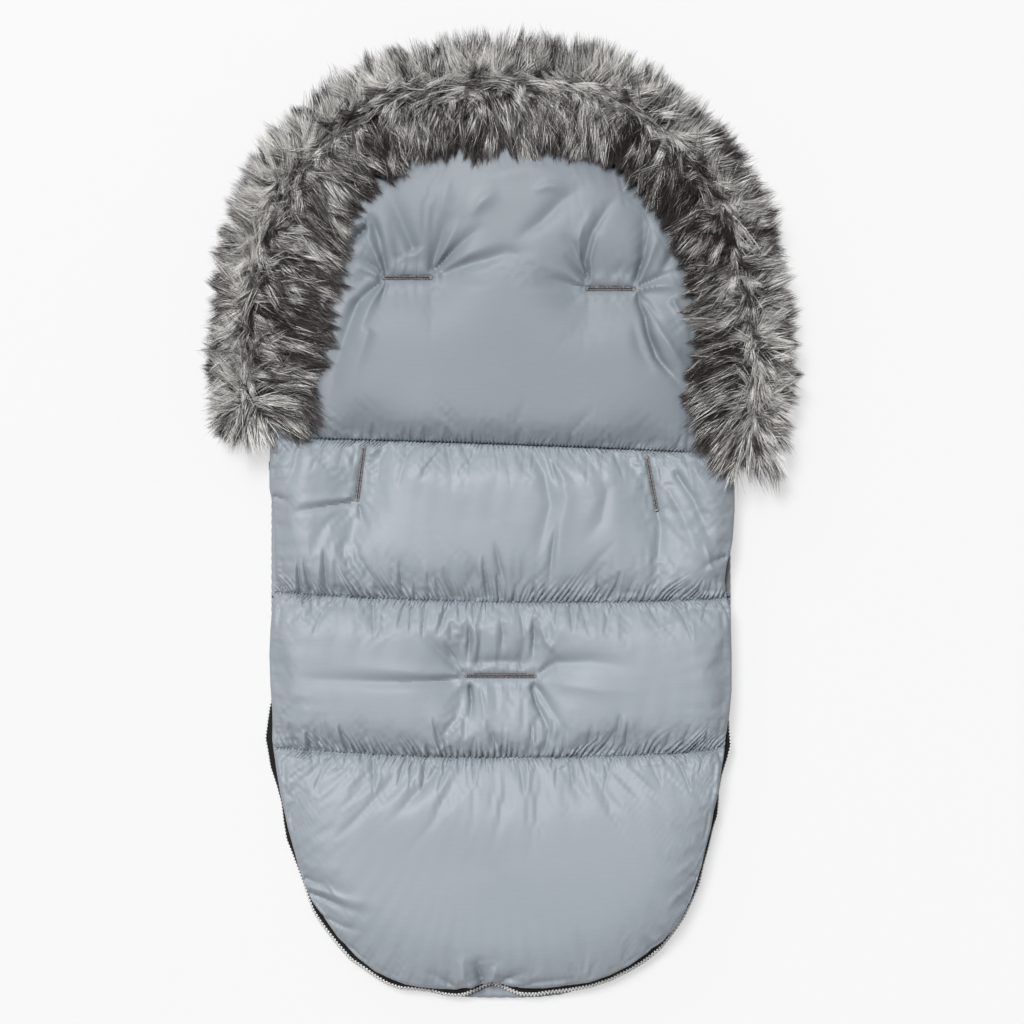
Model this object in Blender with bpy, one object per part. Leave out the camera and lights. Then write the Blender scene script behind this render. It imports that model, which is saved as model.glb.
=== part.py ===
"""Stroller footmuff, lying on its front cover with its back up and its zip closed.

Metres, +Z up, head end towards +Y. The origin is the middle of the footprint, on the floor.
The front cover is the lower half, the back with its fur-trimmed head section the upper half.
"""

import math

import bmesh
import bpy

# Plan of the whole object
HALF_LENGTH = 0.4655
SHELL_HALF_WIDTH = 0.2225
CHAIN_INSET = 0.003
CHAIN_FOOT_REACH = 0.2840
COVER_PROUD = 0.003
TAPE_SHOWING = 0.0055
FOOT_POWER = 2.5
FUR_OUTER_REACH = 0.0625
FUR_INNER_REACH = 0.052

CHAIN_HALF_WIDTH = SHELL_HALF_WIDTH - CHAIN_INSET
HEAD_CENTRE_Y = HALF_LENGTH - FUR_OUTER_REACH - SHELL_HALF_WIDTH
FOOT_CENTRE_Y = CHAIN_FOOT_REACH + COVER_PROUD - HALF_LENGTH
SHELL_FOOT_REACH = CHAIN_FOOT_REACH - TAPE_SHOWING
COVER_FOOT_REACH = CHAIN_FOOT_REACH + COVER_PROUD

# Layers, counted up from the floor
GAP = 0.0003
SKIN = 0.0016
WADDING_CLEAR = 0.0009
LINING = 0.002
COVER_DEPTH = 0.018
POCKET_DEPTH = 0.014
RIM_HEIGHT = 0.0075
CROWN_HEIGHT = 0.0175
COVER_VALLEY = 0.009
FLAT_CUT = 0.0005

COVER_LINING_TOP = COVER_DEPTH + LINING
BACK_LINING_BASE = COVER_LINING_TOP + POCKET_DEPTH
BACK_LINING_TOP = BACK_LINING_BASE + LINING
CHAIN_Z = (COVER_LINING_TOP + BACK_LINING_BASE) / 2

# Sections along the left edge, counted from the foot's end
FOOT_SECTION = 0.2425
SEAT_SECTION = 0.1490
WAIST_SECTION = 0.1480
SEAT_SEAM_Y = FOOT_SECTION - HALF_LENGTH
WAIST_SEAM_Y = SEAT_SEAM_Y + SEAT_SECTION
HEAD_SEAM_Y = WAIST_SEAM_Y + WAIST_SECTION

# Cross seams: y at the left edge, how far the right edge lies below it, how far the middle sags
SEAM_HEAD = (HEAD_SEAM_Y, 0.0160, -0.0020)
SEAM_WAIST = (WAIST_SEAM_Y, 0.0060, 0.0065)
SEAM_SEAT = (SEAT_SEAM_Y, 0.0020, 0.0090)
SEAM_ROLL = 0.036
SIDE_ROLL = 0.040
UNDER_FUR_RISE = 0.004
HEAD_ROLL = 0.060

# Harness slots: name, centre x, centre y from the head seam, clear length, turn in degrees
SLOT_CLEAR = 0.0054
SLOT_LIP = 0.0012
SLOT_PROUD = 0.0008
SLOT_DIP_REACH = 0.030
SLOT_DIP_SHARE = 0.55
SHOULDER_SLOT = 0.044
WAIST_SLOT = 0.050
CROTCH_SLOT = 0.065
SLOTS = (
    ("shoulder_slot_left", -0.0896, 0.1529, SHOULDER_SLOT, 0),
    ("shoulder_slot_right", 0.1046, 0.1423, SHOULDER_SLOT, 0),
    ("waist_slot_left", -0.1344, -0.0345, WAIST_SLOT, 82.7),
    ("waist_slot_right", 0.1445, -0.0440, WAIST_SLOT, 100.5),
    ("crotch_slot", -0.0005, -0.2282, CROTCH_SLOT, 0),
)
CUT_OVERRUN = 0.005

# Zip chain and tape
TOOTH_PITCH = 0.0033
TOOTH_THICK = 0.0026
TOOTH_WAVE = 0.0013
TOOTH_GAP = 0.0006
CHAIN_HALF_HEIGHT = 0.0030
TEETH_PER_BEAD_STEP = 4
TAPE_THICK = 0.0008
TAPE_UPRIGHT = 0.0021
TAPE_END = 0.0030
STOP_LENGTH = 0.003
STOP_PROUD = 0.0004

# Slider and pull
SLIDER_LENGTH = 0.015
SLIDER_PLATE = 0.0013
SLIDER_FLANGE = 0.0012
SLIDER_FRONT_HALF = 0.0053
TAPE_SLOT = 0.0014
DIAMOND_LENGTH = 0.0045
DIAMOND_WIDTH = 0.0020
BRIDGE_WIDTH = 0.003
BRIDGE_LENGTH = 0.010
BRIDGE_HEIGHT = 0.0034
BRIDGE_WALL = 0.0014
BRIDGE_ROOF = 0.0012
PULL_LENGTH = 0.020
PULL_WIDTH = 0.0068
PULL_TIP_WIDTH = 0.0050
PULL_THICK = 0.0015
PULL_EYE_PLAY = 0.0004
SLIDER_LEFT_BELOW = 0.0265
SLIDER_RIGHT_BELOW = 0.0295
SLIDER_LEFT_Y = HEAD_SEAM_Y - SLIDER_LEFT_BELOW
SLIDER_RIGHT_Y = HEAD_SEAM_Y - SLIDER_RIGHT_BELOW

# Fur trim round the head section
FUR_LEFT_ABOVE = 0.002
FUR_RIGHT_BELOW = 0.006
FUR_LEFT_END_Y = HEAD_SEAM_Y + FUR_LEFT_ABOVE
FUR_RIGHT_END_Y = HEAD_SEAM_Y - FUR_RIGHT_BELOW
FUR_HEIGHT = 0.070
FUR_LIP = 0.006
FUR_LOWER_INSET = 0.008
FUR_EDGE_PLAY = 0.0009
BACKING = 0.0012

# Front cover
COVER_CHEST_SECTION = 0.130
COVER_LAP_SECTION = 0.150
COVER_TOP_BELOW = 0.024
COVER_TOP_Y = HEAD_SEAM_Y - COVER_TOP_BELOW
COVER_SEAM_WAIST_Y = COVER_TOP_Y - COVER_CHEST_SECTION
COVER_SEAM_SEAT_Y = COVER_SEAM_WAIST_Y - COVER_LAP_SECTION
BINDING_DEPTH = 0.006
LINING_INSET = CHAIN_INSET + TOOTH_THICK + GAP

# How finely the soft panels and the curves are divided
PANEL_COLUMNS = 14
PANEL_ROWS = 7
HEAD_RING_SHARE = 5 / 7
FOOT_ARC_STEPS = 40
HEAD_ARC_STEPS = 24
ROUTE_STEPS = 600
SLOT_END_STEPS = 5


def clear_scene():
    for existing in list(bpy.data.objects):
        bpy.data.objects.remove(existing, do_unlink=True)


def material(name, colour, roughness, metallic=0.0):
    made = bpy.data.materials.new(name)
    made.use_nodes = True
    shader = made.node_tree.nodes["Principled BSDF"]
    shader.inputs["Base Color"].default_value = (*colour, 1.0)
    shader.inputs["Roughness"].default_value = roughness
    shader.inputs["Metallic"].default_value = metallic
    return made


def finish(bm, name, paint, smooth=True):
    """Turns a bmesh into a named object with its faces pointing out."""
    bmesh.ops.remove_doubles(bm, verts=bm.verts, dist=GAP * 0.01)
    bmesh.ops.recalc_face_normals(bm, faces=bm.faces)
    mesh = bpy.data.meshes.new(name)
    bm.to_mesh(mesh)
    bm.free()
    if smooth:
        mesh.shade_smooth()
        mesh.set_sharp_from_angle(angle=math.radians(40))
    made = bpy.data.objects.new(name, mesh)
    made.data.materials.append(paint)
    bpy.context.scene.collection.objects.link(made)
    return made


def add_loop(bm, points):
    return [bm.verts.new(point) for point in points]


def join_loops(bm, first, second, closed=True):
    """Quads between two rows of vertices of the same length."""
    count = len(first)
    for i in range(count if closed else count - 1):
        following = (i + 1) % count
        bm.faces.new((first[i], first[following], second[following], second[i]))


def prism(bm, low, high):
    """A closed solid between two loops of points, capped at both."""
    bottom = add_loop(bm, low)
    top = add_loop(bm, high)
    join_loops(bm, bottom, top)
    bm.faces.new(bottom[::-1])
    bm.faces.new(top)


# Outlines in plan
def foot_point(angle, half_width, reach):
    """A point of the foot's rounded end. The angle runs from 0 at the left side to pi at the right."""
    across = -math.copysign(abs(math.cos(angle)) ** (2 / FOOT_POWER), math.cos(angle))
    along = max(math.sin(angle), 0.0) ** (2 / FOOT_POWER)
    return half_width * across, FOOT_CENTRE_Y - reach * along


def foot_half_width(y, half_width, reach):
    """Half the width of an outline at this y, along the straight sides or the rounded foot."""
    past = max(FOOT_CENTRE_Y - y, 0.0) / reach
    return half_width * max(1 - past ** FOOT_POWER, 0.0) ** (1 / FOOT_POWER)


def edge_distance(x, y, half_width, reach):
    """Roughly how far inside an outline this point lies."""
    if y > HEAD_CENTRE_Y:
        return half_width - math.hypot(x, y - HEAD_CENTRE_Y)
    if y > FOOT_CENTRE_Y:
        return half_width - abs(x)
    level = (abs(x) / half_width) ** FOOT_POWER + ((FOOT_CENTRE_Y - y) / reach) ** FOOT_POWER
    return half_width * (1 - level ** (1 / FOOT_POWER))


def foot_angles(steps):
    """Angles that space points evenly round the foot, found on a fine copy of the curve."""
    fine = [math.pi * i / ROUTE_STEPS for i in range(ROUTE_STEPS + 1)]
    points = [foot_point(angle, CHAIN_HALF_WIDTH, CHAIN_FOOT_REACH) for angle in fine]
    run = [0.0]
    for here, there in zip(points, points[1:]):
        run.append(run[-1] + math.dist(here, there))
    chosen = []
    for step in range(steps + 1):
        wanted = run[-1] * step / steps
        after = next((i for i, length in enumerate(run) if length >= wanted), ROUTE_STEPS)
        chosen.append(fine[after])
    return chosen


def seam_y(seam, x):
    left_y, drop, sag = seam
    share = (x + SHELL_HALF_WIDTH) / (2 * SHELL_HALF_WIDTH)
    return left_y - drop * share - sag * (1 - (x / SHELL_HALF_WIDTH) ** 2)


def foot_edge(seam, u, half_width, reach, inset):
    """A point round the foot section's edge, u running from its left corner to its right."""
    wide, long = half_width - inset, reach - inset
    corner_y = seam_y(seam, math.copysign(wide, u - 0.5)) - inset
    side = max(corner_y - FOOT_CENTRE_Y, 0.0)
    started = max(FOOT_CENTRE_Y - corner_y, 0.0) / long
    first_angle = math.asin(started ** (FOOT_POWER / 2))
    run = (side + wide * math.pi / 2) * min(u, 1 - u) * 2
    if run < side:
        x, y = -wide, corner_y - run
    else:
        share = (run - side) / (wide * math.pi / 2)
        x, y = foot_point(first_angle + (math.pi / 2 - first_angle) * share, wide, long)
    return (-x if u > 0.5 else x), y


def foot_patch(seam, half_width, reach):
    """Maps u and v, each 0 to 1, to a foot section: v is 0 on its seam and 1 on the rounded edge."""

    def place(u, v, inset):
        edge_x, edge_y = foot_edge(seam, u, half_width, reach, inset)
        if u in (0, 1):
            return edge_x, edge_y
        corner_x = foot_edge(seam, 1, half_width, reach, inset)[0]
        x = corner_x * (2 * u - 1)
        start_y = seam_y(seam, x) - inset
        return x + (edge_x - x) * v, start_y + (edge_y - start_y) * v

    return place


def head_edge(seam, u, half_width, inset, seam_inset):
    """A point round the head section's edge, u running from its left corner to its right."""
    wide = half_width - inset
    corner_y = seam_y(seam, math.copysign(wide, u - 0.5)) + seam_inset
    side = HEAD_CENTRE_Y - corner_y
    run = (side + wide * math.pi / 2) * min(u, 1 - u) * 2
    if run < side:
        x, y = -wide, corner_y + run
    else:
        turn = (run - side) / wide
        x, y = -wide * math.cos(turn), HEAD_CENTRE_Y + wide * math.sin(turn)
    return (-x if u > 0.5 else x), y


def head_patch(seam, half_width):
    """Maps u and v to the head section: v is 0 on its seam, then a ring under the fur, and 1 at the edge."""

    def place(u, v, inset):
        ring_x, ring_y = head_edge(seam, u, half_width, FUR_INNER_REACH, inset)
        if v > HEAD_RING_SHARE:
            share = (v - HEAD_RING_SHARE) / (1 - HEAD_RING_SHARE)
            edge_x, edge_y = head_edge(seam, u, half_width, inset, inset)
            return ring_x + (edge_x - ring_x) * share, ring_y + (edge_y - ring_y) * share
        if u in (0, 1):
            return ring_x, ring_y
        share = v / HEAD_RING_SHARE
        x = (half_width - FUR_INNER_REACH) * (2 * u - 1)
        start_y = seam_y(seam, x) + inset
        return x + (ring_x - x) * share, start_y + (ring_y - start_y) * share

    return place


def band_patch(upper, lower, half_width, reach):
    """Maps u and v to a section between two seams: v is 0 on the upper seam and 1 on the lower."""

    def place(u, v, inset):
        guess = seam_y(upper, 0.0) * (1 - v) + seam_y(lower, 0.0) * v
        x = foot_half_width(guess, half_width - inset, reach - inset) * (2 * u - 1)
        start_y = seam_y(upper, x) - inset
        end_y = seam_y(lower, x) + inset
        return x, start_y + (end_y - start_y) * v

    return place


def straight_seam(y):
    return (y, 0.0, 0.0)


# Heights of the puffed panels
def roll(distance, radius):
    """Rises from 0 at a sewn edge to 1 once the panel is full."""
    share = min(max(distance / radius, 0.0), 1.0)
    return math.sqrt(1 - (1 - share) ** 2)


def slot_distance(x, y, slot):
    _, slot_x, above_seam, length, turn = slot
    slot_y = HEAD_SEAM_Y + above_seam
    along_x, along_y = math.cos(math.radians(turn)), math.sin(math.radians(turn))
    along = (x - slot_x) * along_x + (y - slot_y) * along_y
    along = min(max(along, -length / 2), length / 2)
    return math.hypot(x - slot_x - along * along_x, y - slot_y - along * along_y)


def slot_draw(x, y):
    """1 away from the harness slots, less where a slot draws the panel down."""
    share = 1.0
    for slot in SLOTS:
        share *= 1 - SLOT_DIP_SHARE * math.exp(-(slot_distance(x, y, slot) / SLOT_DIP_REACH) ** 2)
    return share


def back_height(x, y):
    """Top of the back's shell: drawn in at seams, edges and slots, full between them."""
    full = 1.0
    for seam in (SEAM_HEAD, SEAM_WAIST, SEAM_SEAT):
        full *= roll(abs(y - seam_y(seam, x)), SEAM_ROLL)
    inside = edge_distance(x, y, SHELL_HALF_WIDTH, SHELL_FOOT_REACH)
    rim = BACK_LINING_TOP + RIM_HEIGHT
    if y > seam_y(SEAM_HEAD, x):
        under_fur = min(max(inside / FUR_INNER_REACH, 0.0), 1.0)
        full *= roll(inside - FUR_INNER_REACH, HEAD_ROLL)
        rim += UNDER_FUR_RISE * under_fur
    else:
        full *= roll(inside, SIDE_ROLL)
    return rim + CROWN_HEIGHT * full * slot_draw(x, y)


def cover_underside(x, y):
    """Underside of the front cover: it lies on the floor between its seams and lifts towards them."""
    full = roll(COVER_TOP_Y - y, SEAM_ROLL)
    for seam_place in (COVER_SEAM_WAIST_Y, COVER_SEAM_SEAT_Y):
        full *= roll(abs(y - seam_place), SEAM_ROLL)
    full *= roll(edge_distance(x, y, SHELL_HALF_WIDTH, COVER_FOOT_REACH), SIDE_ROLL)
    return max(COVER_VALLEY * (1 - full) - FLAT_CUT, 0.0)


# Soft solids
def grid_of(place, height, inset, drop):
    """Points over a section, moved in from its edge by inset, at the height of its outer skin less drop."""
    grid = []
    for j in range(PANEL_ROWS + 1):
        row = []
        for i in range(PANEL_COLUMNS + 1):
            u, v = i / PANEL_COLUMNS, j / PANEL_ROWS
            top = height(*place(u, v, GAP / 2))
            row.append((*place(u, v, inset), top - drop))
        grid.append(row)
    return grid


def add_grid(bm, grid):
    """Triangles over a grid of points, split the same way on every layer so that layers nest."""
    rows = [add_loop(bm, row) for row in grid]
    for first, second in zip(rows, rows[1:]):
        for i in range(len(first) - 1):
            near, far = (first, second) if i < len(first) // 2 else (second, first)
            bm.faces.new((near[i], near[i + 1], far[i + 1]))
            bm.faces.new((near[i], far[i + 1], far[i]))
    return rows


def border(rows):
    """The vertices round a grid, in order."""
    right = [row[-1] for row in rows[1:-1]]
    left = [row[0] for row in rows[1:-1]]
    return rows[0] + right + rows[-1][::-1] + left[::-1]


def shell_cap(name, place, height, hem_z, side, paint):
    """A sewn shell: a skin that follows the puffed surface and turns in to a hem all round.

    The side is 1 for a panel that puffs up and -1 for one that puffs down.
    """
    bm = bmesh.new()
    outer = border(add_grid(bm, grid_of(place, height, GAP / 2, 0.0)))
    inner = border(add_grid(bm, grid_of(place, height, GAP / 2 + SKIN, side * SKIN)))
    outer_hem = add_loop(bm, [(v.co.x, v.co.y, hem_z) for v in outer])
    inner_hem = add_loop(bm, [(v.co.x, v.co.y, hem_z) for v in inner])
    join_loops(bm, outer, outer_hem)
    join_loops(bm, outer_hem, inner_hem)
    join_loops(bm, inner_hem, inner)
    return finish(bm, name, paint)


def wadding_block(name, place, height, flat_z, side, paint):
    """The filling of one section: it follows the inside of its shell, and lies flat on the lining."""
    bm = bmesh.new()
    puffed = border(add_grid(bm, grid_of(place, height, SKIN + 2 * GAP, side * (SKIN + WADDING_CLEAR))))
    flat = add_loop(bm, [(v.co.x, v.co.y, flat_z) for v in puffed])
    join_loops(bm, puffed, flat)
    bmesh.ops.remove_doubles(bm, verts=bm.verts, dist=GAP * 0.01)
    open_edges = [edge for edge in bm.edges if edge.is_boundary]
    bmesh.ops.holes_fill(bm, edges=open_edges)
    return finish(bm, name, paint)


def sheet(name, outline, low, high, paint):
    bm = bmesh.new()
    prism(bm, [(x, y, low) for x, y in outline], [(x, y, high) for x, y in outline])
    return finish(bm, name, paint, smooth=False)


def back_outline(inset):
    wide = SHELL_HALF_WIDTH - inset
    points = [foot_point(angle, wide, SHELL_FOOT_REACH - inset) for angle in foot_angles(FOOT_ARC_STEPS)]
    for step in range(HEAD_ARC_STEPS + 1):
        turn = math.pi * step / HEAD_ARC_STEPS
        points.append((wide * math.cos(turn), HEAD_CENTRE_Y + wide * math.sin(turn)))
    return points


def cover_outline(inset):
    wide = SHELL_HALF_WIDTH - inset
    points = [foot_point(angle, wide, COVER_FOOT_REACH - inset) for angle in foot_angles(FOOT_ARC_STEPS)]
    return points + [(wide, COVER_TOP_Y), (-wide, COVER_TOP_Y)]


# Harness slots
def stadium(length, width, steps):
    """A slot's outline about the origin, with round ends, its long way along x."""
    radius = width / 2
    points = []
    for end in (1, -1):
        for step in range(steps + 1):
            turn = math.pi * step / steps - math.pi / 2
            points.append((
                end * (length / 2 - radius + radius * math.cos(turn)),
                end * radius * math.sin(turn),
            ))
    return points


def slot_loop(slot, grow, z):
    _, slot_x, above_seam, length, turn = slot
    slot_y = HEAD_SEAM_Y + above_seam
    cosine, sine = math.cos(math.radians(turn)), math.sin(math.radians(turn))
    loop = []
    for x, y in stadium(length + 2 * grow, SLOT_CLEAR + 2 * grow, SLOT_END_STEPS):
        loop.append((slot_x + x * cosine - y * sine, slot_y + x * sine + y * cosine, z))
    return loop


def slot_top(slot):
    """Height of a slot's lip: just proud of the highest shell beside it."""
    around = slot_loop(slot, SLOT_LIP + GAP, 0.0)
    return max(back_height(x, y) for x, y, _ in around) + SLOT_PROUD


def slot_edging(slot, paint):
    """The stitched lip that lines a slot through all the layers."""
    bm = bmesh.new()
    top = slot_top(slot)
    loops = [
        add_loop(bm, slot_loop(slot, 0.0, BACK_LINING_BASE)),
        add_loop(bm, slot_loop(slot, SLOT_LIP, BACK_LINING_BASE)),
        add_loop(bm, slot_loop(slot, SLOT_LIP, top)),
        add_loop(bm, slot_loop(slot, 0.0, top)),
    ]
    for i, loop in enumerate(loops):
        join_loops(bm, loop, loops[(i + 1) % len(loops)])
    return finish(bm, slot[0], paint)


def slot_cutter(slot, paint):
    bm = bmesh.new()
    low = BACK_LINING_BASE - CUT_OVERRUN
    high = slot_top(slot) + CUT_OVERRUN
    prism(bm, slot_loop(slot, SLOT_LIP + GAP, low), slot_loop(slot, SLOT_LIP + GAP, high))
    cutter = finish(bm, slot[0] + "_cutter", paint, smooth=False)
    cutter.hide_render = True
    cutter.display_type = "WIRE"
    return cutter


def cut(target, cutter):
    boolean = target.modifiers.new(cutter.name, "BOOLEAN")
    boolean.operation = "DIFFERENCE"
    boolean.object = cutter


def unite(target, other):
    boolean = target.modifiers.new(other.name, "BOOLEAN")
    boolean.operation = "UNION"
    boolean.object = other
    other.hide_render = True
    other.display_type = "WIRE"


# Zip
def chain_top(slider_y):
    """Where the teeth end inside a slider: just short of its diamond."""
    return slider_y + SLIDER_LENGTH / 2 - DIAMOND_LENGTH - 2 * GAP


def tape_top(slider_y):
    return slider_y + SLIDER_LENGTH / 2 + GAP + STOP_LENGTH + TAPE_END


def chain_route(left_y, right_y):
    """Fine plan points along the chain's outer face, from its left end round the foot to its right."""
    fine = [math.pi * i / ROUTE_STEPS for i in range(ROUTE_STEPS + 1)]
    curve = [foot_point(angle, CHAIN_HALF_WIDTH, CHAIN_FOOT_REACH) for angle in fine]
    return [(-CHAIN_HALF_WIDTH, left_y)] + curve + [(CHAIN_HALF_WIDTH, right_y)]


def walk(route, distances):
    """Points and outward directions at these distances along a route."""
    found = []
    covered = 0.0
    leg = 0
    for wanted in distances:
        while leg < len(route) - 2 and covered + math.dist(route[leg], route[leg + 1]) < wanted:
            covered += math.dist(route[leg], route[leg + 1])
            leg += 1
        (x0, y0), (x1, y1) = route[leg], route[leg + 1]
        length = math.dist(route[leg], route[leg + 1])
        share = (wanted - covered) / length
        ahead_x, ahead_y = (x1 - x0) / length, (y1 - y0) / length
        point = (x0 + (x1 - x0) * share, y0 + (y1 - y0) * share)
        found.append((point, (ahead_y, -ahead_x)))
    return found


def route_length(route):
    return sum(math.dist(here, there) for here, there in zip(route, route[1:]))


def teeth_comb(name, side, paint):
    """One half of the chain: pointed teeth on a moulded bead, meshing with the other half.

    The side is 1 for the half above the chain's middle and -1 for the half below.
    """
    route = chain_route(chain_top(SLIDER_LEFT_Y), chain_top(SLIDER_RIGHT_Y))
    teeth = int(route_length(route) / TOOTH_PITCH)
    teeth -= teeth % TEETH_PER_BEAD_STEP
    half_steps = walk(route, [TOOTH_PITCH * i / 2 for i in range(2 * teeth + 1)])
    bm = bmesh.new()
    faces_at = {}
    for inward in (0.0, TOOTH_THICK):
        wave = []
        for i, ((x, y), (out_x, out_y)) in enumerate(half_steps):
            swing = TOOTH_WAVE if i % 2 else -TOOTH_WAVE
            z = CHAIN_Z + side * TOOTH_GAP / 2 + swing
            wave.append(bm.verts.new((x - out_x * inward, y - out_y * inward, z)))
        bead = []
        for (x, y), (out_x, out_y) in half_steps[::2 * TEETH_PER_BEAD_STEP]:
            z = CHAIN_Z + side * CHAIN_HALF_HEIGHT
            bead.append(bm.verts.new((x - out_x * inward, y - out_y * inward, z)))
        faces_at[inward] = (wave, bead)
        comb_side(bm, wave, bead, side)
    (outer_wave, outer_bead), (inner_wave, inner_bead) = faces_at.values()
    join_loops(bm, outer_wave, inner_wave, closed=False)
    join_loops(bm, outer_bead, inner_bead, closed=False)
    for end in (0, -1):
        bm.faces.new((outer_wave[end], inner_wave[end], inner_bead[end], outer_bead[end]))
    return finish(bm, name, paint, smooth=False)


def comb_side(bm, wave, bead, side):
    """One flat side of a comb: a triangle for each tooth, and a band from their roots to the bead."""
    first_root = 1 if side > 0 else 0
    roots = list(range(first_root, len(wave), 2))
    for here, there in zip(roots, roots[1:]):
        bm.faces.new((wave[here], wave[here + 1], wave[there]))
    step = 2 * TEETH_PER_BEAD_STEP
    for i, (near, far) in enumerate(zip(bead, bead[1:])):
        inside = [r for r in roots if i * step <= r <= (i + 1) * step]
        if first_root:
            if i == 0:
                bm.faces.new((near, wave[0], wave[1]))
            if i == len(bead) - 2:
                bm.faces.new((far, wave[-2], wave[-1]))
            if i:
                inside = [i * step - 1] + inside
        middle = inside[len(inside) // 2]
        for here, there in zip(inside, inside[1:]):
            bm.faces.new((near if there <= middle else far, wave[here], wave[there]))
        bm.faces.new((near, wave[middle], far))


def zip_tape(name, side, hem_z, shell_reach, paint):
    """A woven tape from one half of the chain to the panel it is sewn to."""
    left, right = tape_top(SLIDER_LEFT_Y), tape_top(SLIDER_RIGHT_Y)
    angles = foot_angles(FOOT_ARC_STEPS)
    chain = [foot_point(angle, CHAIN_HALF_WIDTH, CHAIN_FOOT_REACH) for angle in angles]
    panel = [foot_point(angle, SHELL_HALF_WIDTH, shell_reach) for angle in angles]
    chain = [(-CHAIN_HALF_WIDTH, left)] + chain + [(CHAIN_HALF_WIDTH, right)]
    panel = [(-SHELL_HALF_WIDTH, left)] + panel + [(SHELL_HALF_WIDTH, right)]
    middle = TOOTH_THICK / 2
    start_z = CHAIN_Z + side * (CHAIN_HALF_HEIGHT + GAP)
    bend_z = start_z + side * TAPE_UPRIGHT
    bm = bmesh.new()
    loops = []
    for i, ((chain_x, chain_y), (panel_x, panel_y)) in enumerate(zip(chain, panel)):
        before, after = chain[max(i - 1, 0)], chain[min(i + 1, len(chain) - 1)]
        length = math.dist(before, after)
        out_x, out_y = (after[1] - before[1]) / length, (before[0] - after[0]) / length
        loop = []
        for half, order in ((TAPE_THICK / 2, 1), (-TAPE_THICK / 2, -1)):
            chain_in = middle + half
            panel_in = SKIN / 2 + half
            rows = [
                (chain_x - out_x * chain_in, chain_y - out_y * chain_in, start_z),
                (chain_x - out_x * chain_in, chain_y - out_y * chain_in, bend_z),
                (panel_x - out_x * panel_in, panel_y - out_y * panel_in, hem_z),
            ]
            loop += rows[::order]
        loops.append(add_loop(bm, loop))
    for first, second in zip(loops, loops[1:]):
        join_loops(bm, first, second)
    bm.faces.new(loops[0][::-1])
    bm.faces.new(loops[-1])
    return finish(bm, name, paint, smooth=False)


def zip_stop(name, hand, side, slider_y, paint):
    """A moulded stop on the tape's edge, just past the closed slider."""
    half = TOOTH_THICK / 2 + STOP_PROUD
    x_middle = hand * (CHAIN_HALF_WIDTH - TOOTH_THICK / 2)
    low_y = slider_y + SLIDER_LENGTH / 2 + GAP
    near_z, far_z = CHAIN_Z + side * TOOTH_GAP, CHAIN_Z + side * CHAIN_HALF_HEIGHT
    bm = bmesh.new()
    base = [(x_middle - half, low_y), (x_middle + half, low_y)]
    base += [(x_middle + half, low_y + STOP_LENGTH), (x_middle - half, low_y + STOP_LENGTH)]
    prism(bm, [(x, y, near_z) for x, y in base], [(x, y, far_z) for x, y in base])
    return finish(bm, name, paint, smooth=False)


# Slider and pull, in the chain's own directions: along to the head, across up, out of the side
def chain_place(hand, slider_y, along, across, out):
    return (hand * (CHAIN_HALF_WIDTH + out), slider_y + along, CHAIN_Z + across)


def slider_plate(name, hand, slider_y, outer, paint):
    """One of a slider's two plates with its turned-in flanges, wider at the front than at the rear."""
    plate_in, plate_out = GAP, GAP + SLIDER_PLATE
    flange_end = (TAPE_SLOT - TOOTH_THICK) / 2
    rear_half = CHAIN_HALF_HEIGHT + GAP + SLIDER_FLANGE
    bm = bmesh.new()
    loops = []
    for share in (-1, 0, 1):
        half = rear_half + (SLIDER_FRONT_HALF - rear_half) * (share + 1) / 2
        inner = half - SLIDER_FLANGE
        profile = [(-half, plate_out), (half, plate_out), (half, flange_end), (inner, flange_end)]
        profile += [(inner, plate_in), (-inner, plate_in), (-inner, flange_end), (-half, flange_end)]
        if not outer:
            profile = [(across, -TOOTH_THICK - out) for across, out in profile]
        along = share * SLIDER_LENGTH / 2
        loops.append(add_loop(bm, [chain_place(hand, slider_y, along, a, o) for a, o in profile]))
    for first, second in zip(loops, loops[1:]):
        join_loops(bm, first, second)
    bm.faces.new(loops[0])
    bm.faces.new(loops[-1])
    return finish(bm, name, paint, smooth=False)


def slider_diamond(name, hand, slider_y, paint):
    """The wedge between the plates that parts the two halves of the chain."""
    front = SLIDER_LENGTH / 2
    rear = front - DIAMOND_LENGTH
    low, high = -TOOTH_THICK - GAP - SLIDER_PLATE / 2, GAP + SLIDER_PLATE / 2
    corners = [(rear, 0.0), ((rear + front) / 2, DIAMOND_WIDTH / 2)]
    corners += [(front - GAP, 0.0), ((rear + front) / 2, -DIAMOND_WIDTH / 2)]
    bm = bmesh.new()
    near = [chain_place(hand, slider_y, along, across, low) for along, across in corners]
    far = [chain_place(hand, slider_y, along, across, high) for along, across in corners]
    prism(bm, near, far)
    return finish(bm, name, paint, smooth=False)


def slider_bridge(name, hand, slider_y, paint):
    """The arch on the outer plate that the pull turns in."""
    base = GAP + SLIDER_PLATE / 2
    top = GAP + SLIDER_PLATE + BRIDGE_HEIGHT
    half = BRIDGE_LENGTH / 2
    inner = half - BRIDGE_WALL
    roof = top - BRIDGE_ROOF
    outline = [(-half, base), (-half, roof), (-inner, top), (inner, top), (half, roof), (half, base)]
    outline += [(inner, base), (inner, roof), (-inner, roof), (-inner, base)]
    bm = bmesh.new()
    low = [chain_place(hand, slider_y, a, -BRIDGE_WIDTH / 2, o) for a, o in outline]
    high = [chain_place(hand, slider_y, a, BRIDGE_WIDTH / 2, o) for a, o in outline]
    prism(bm, low, high)
    return finish(bm, name, paint, smooth=False)


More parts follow.
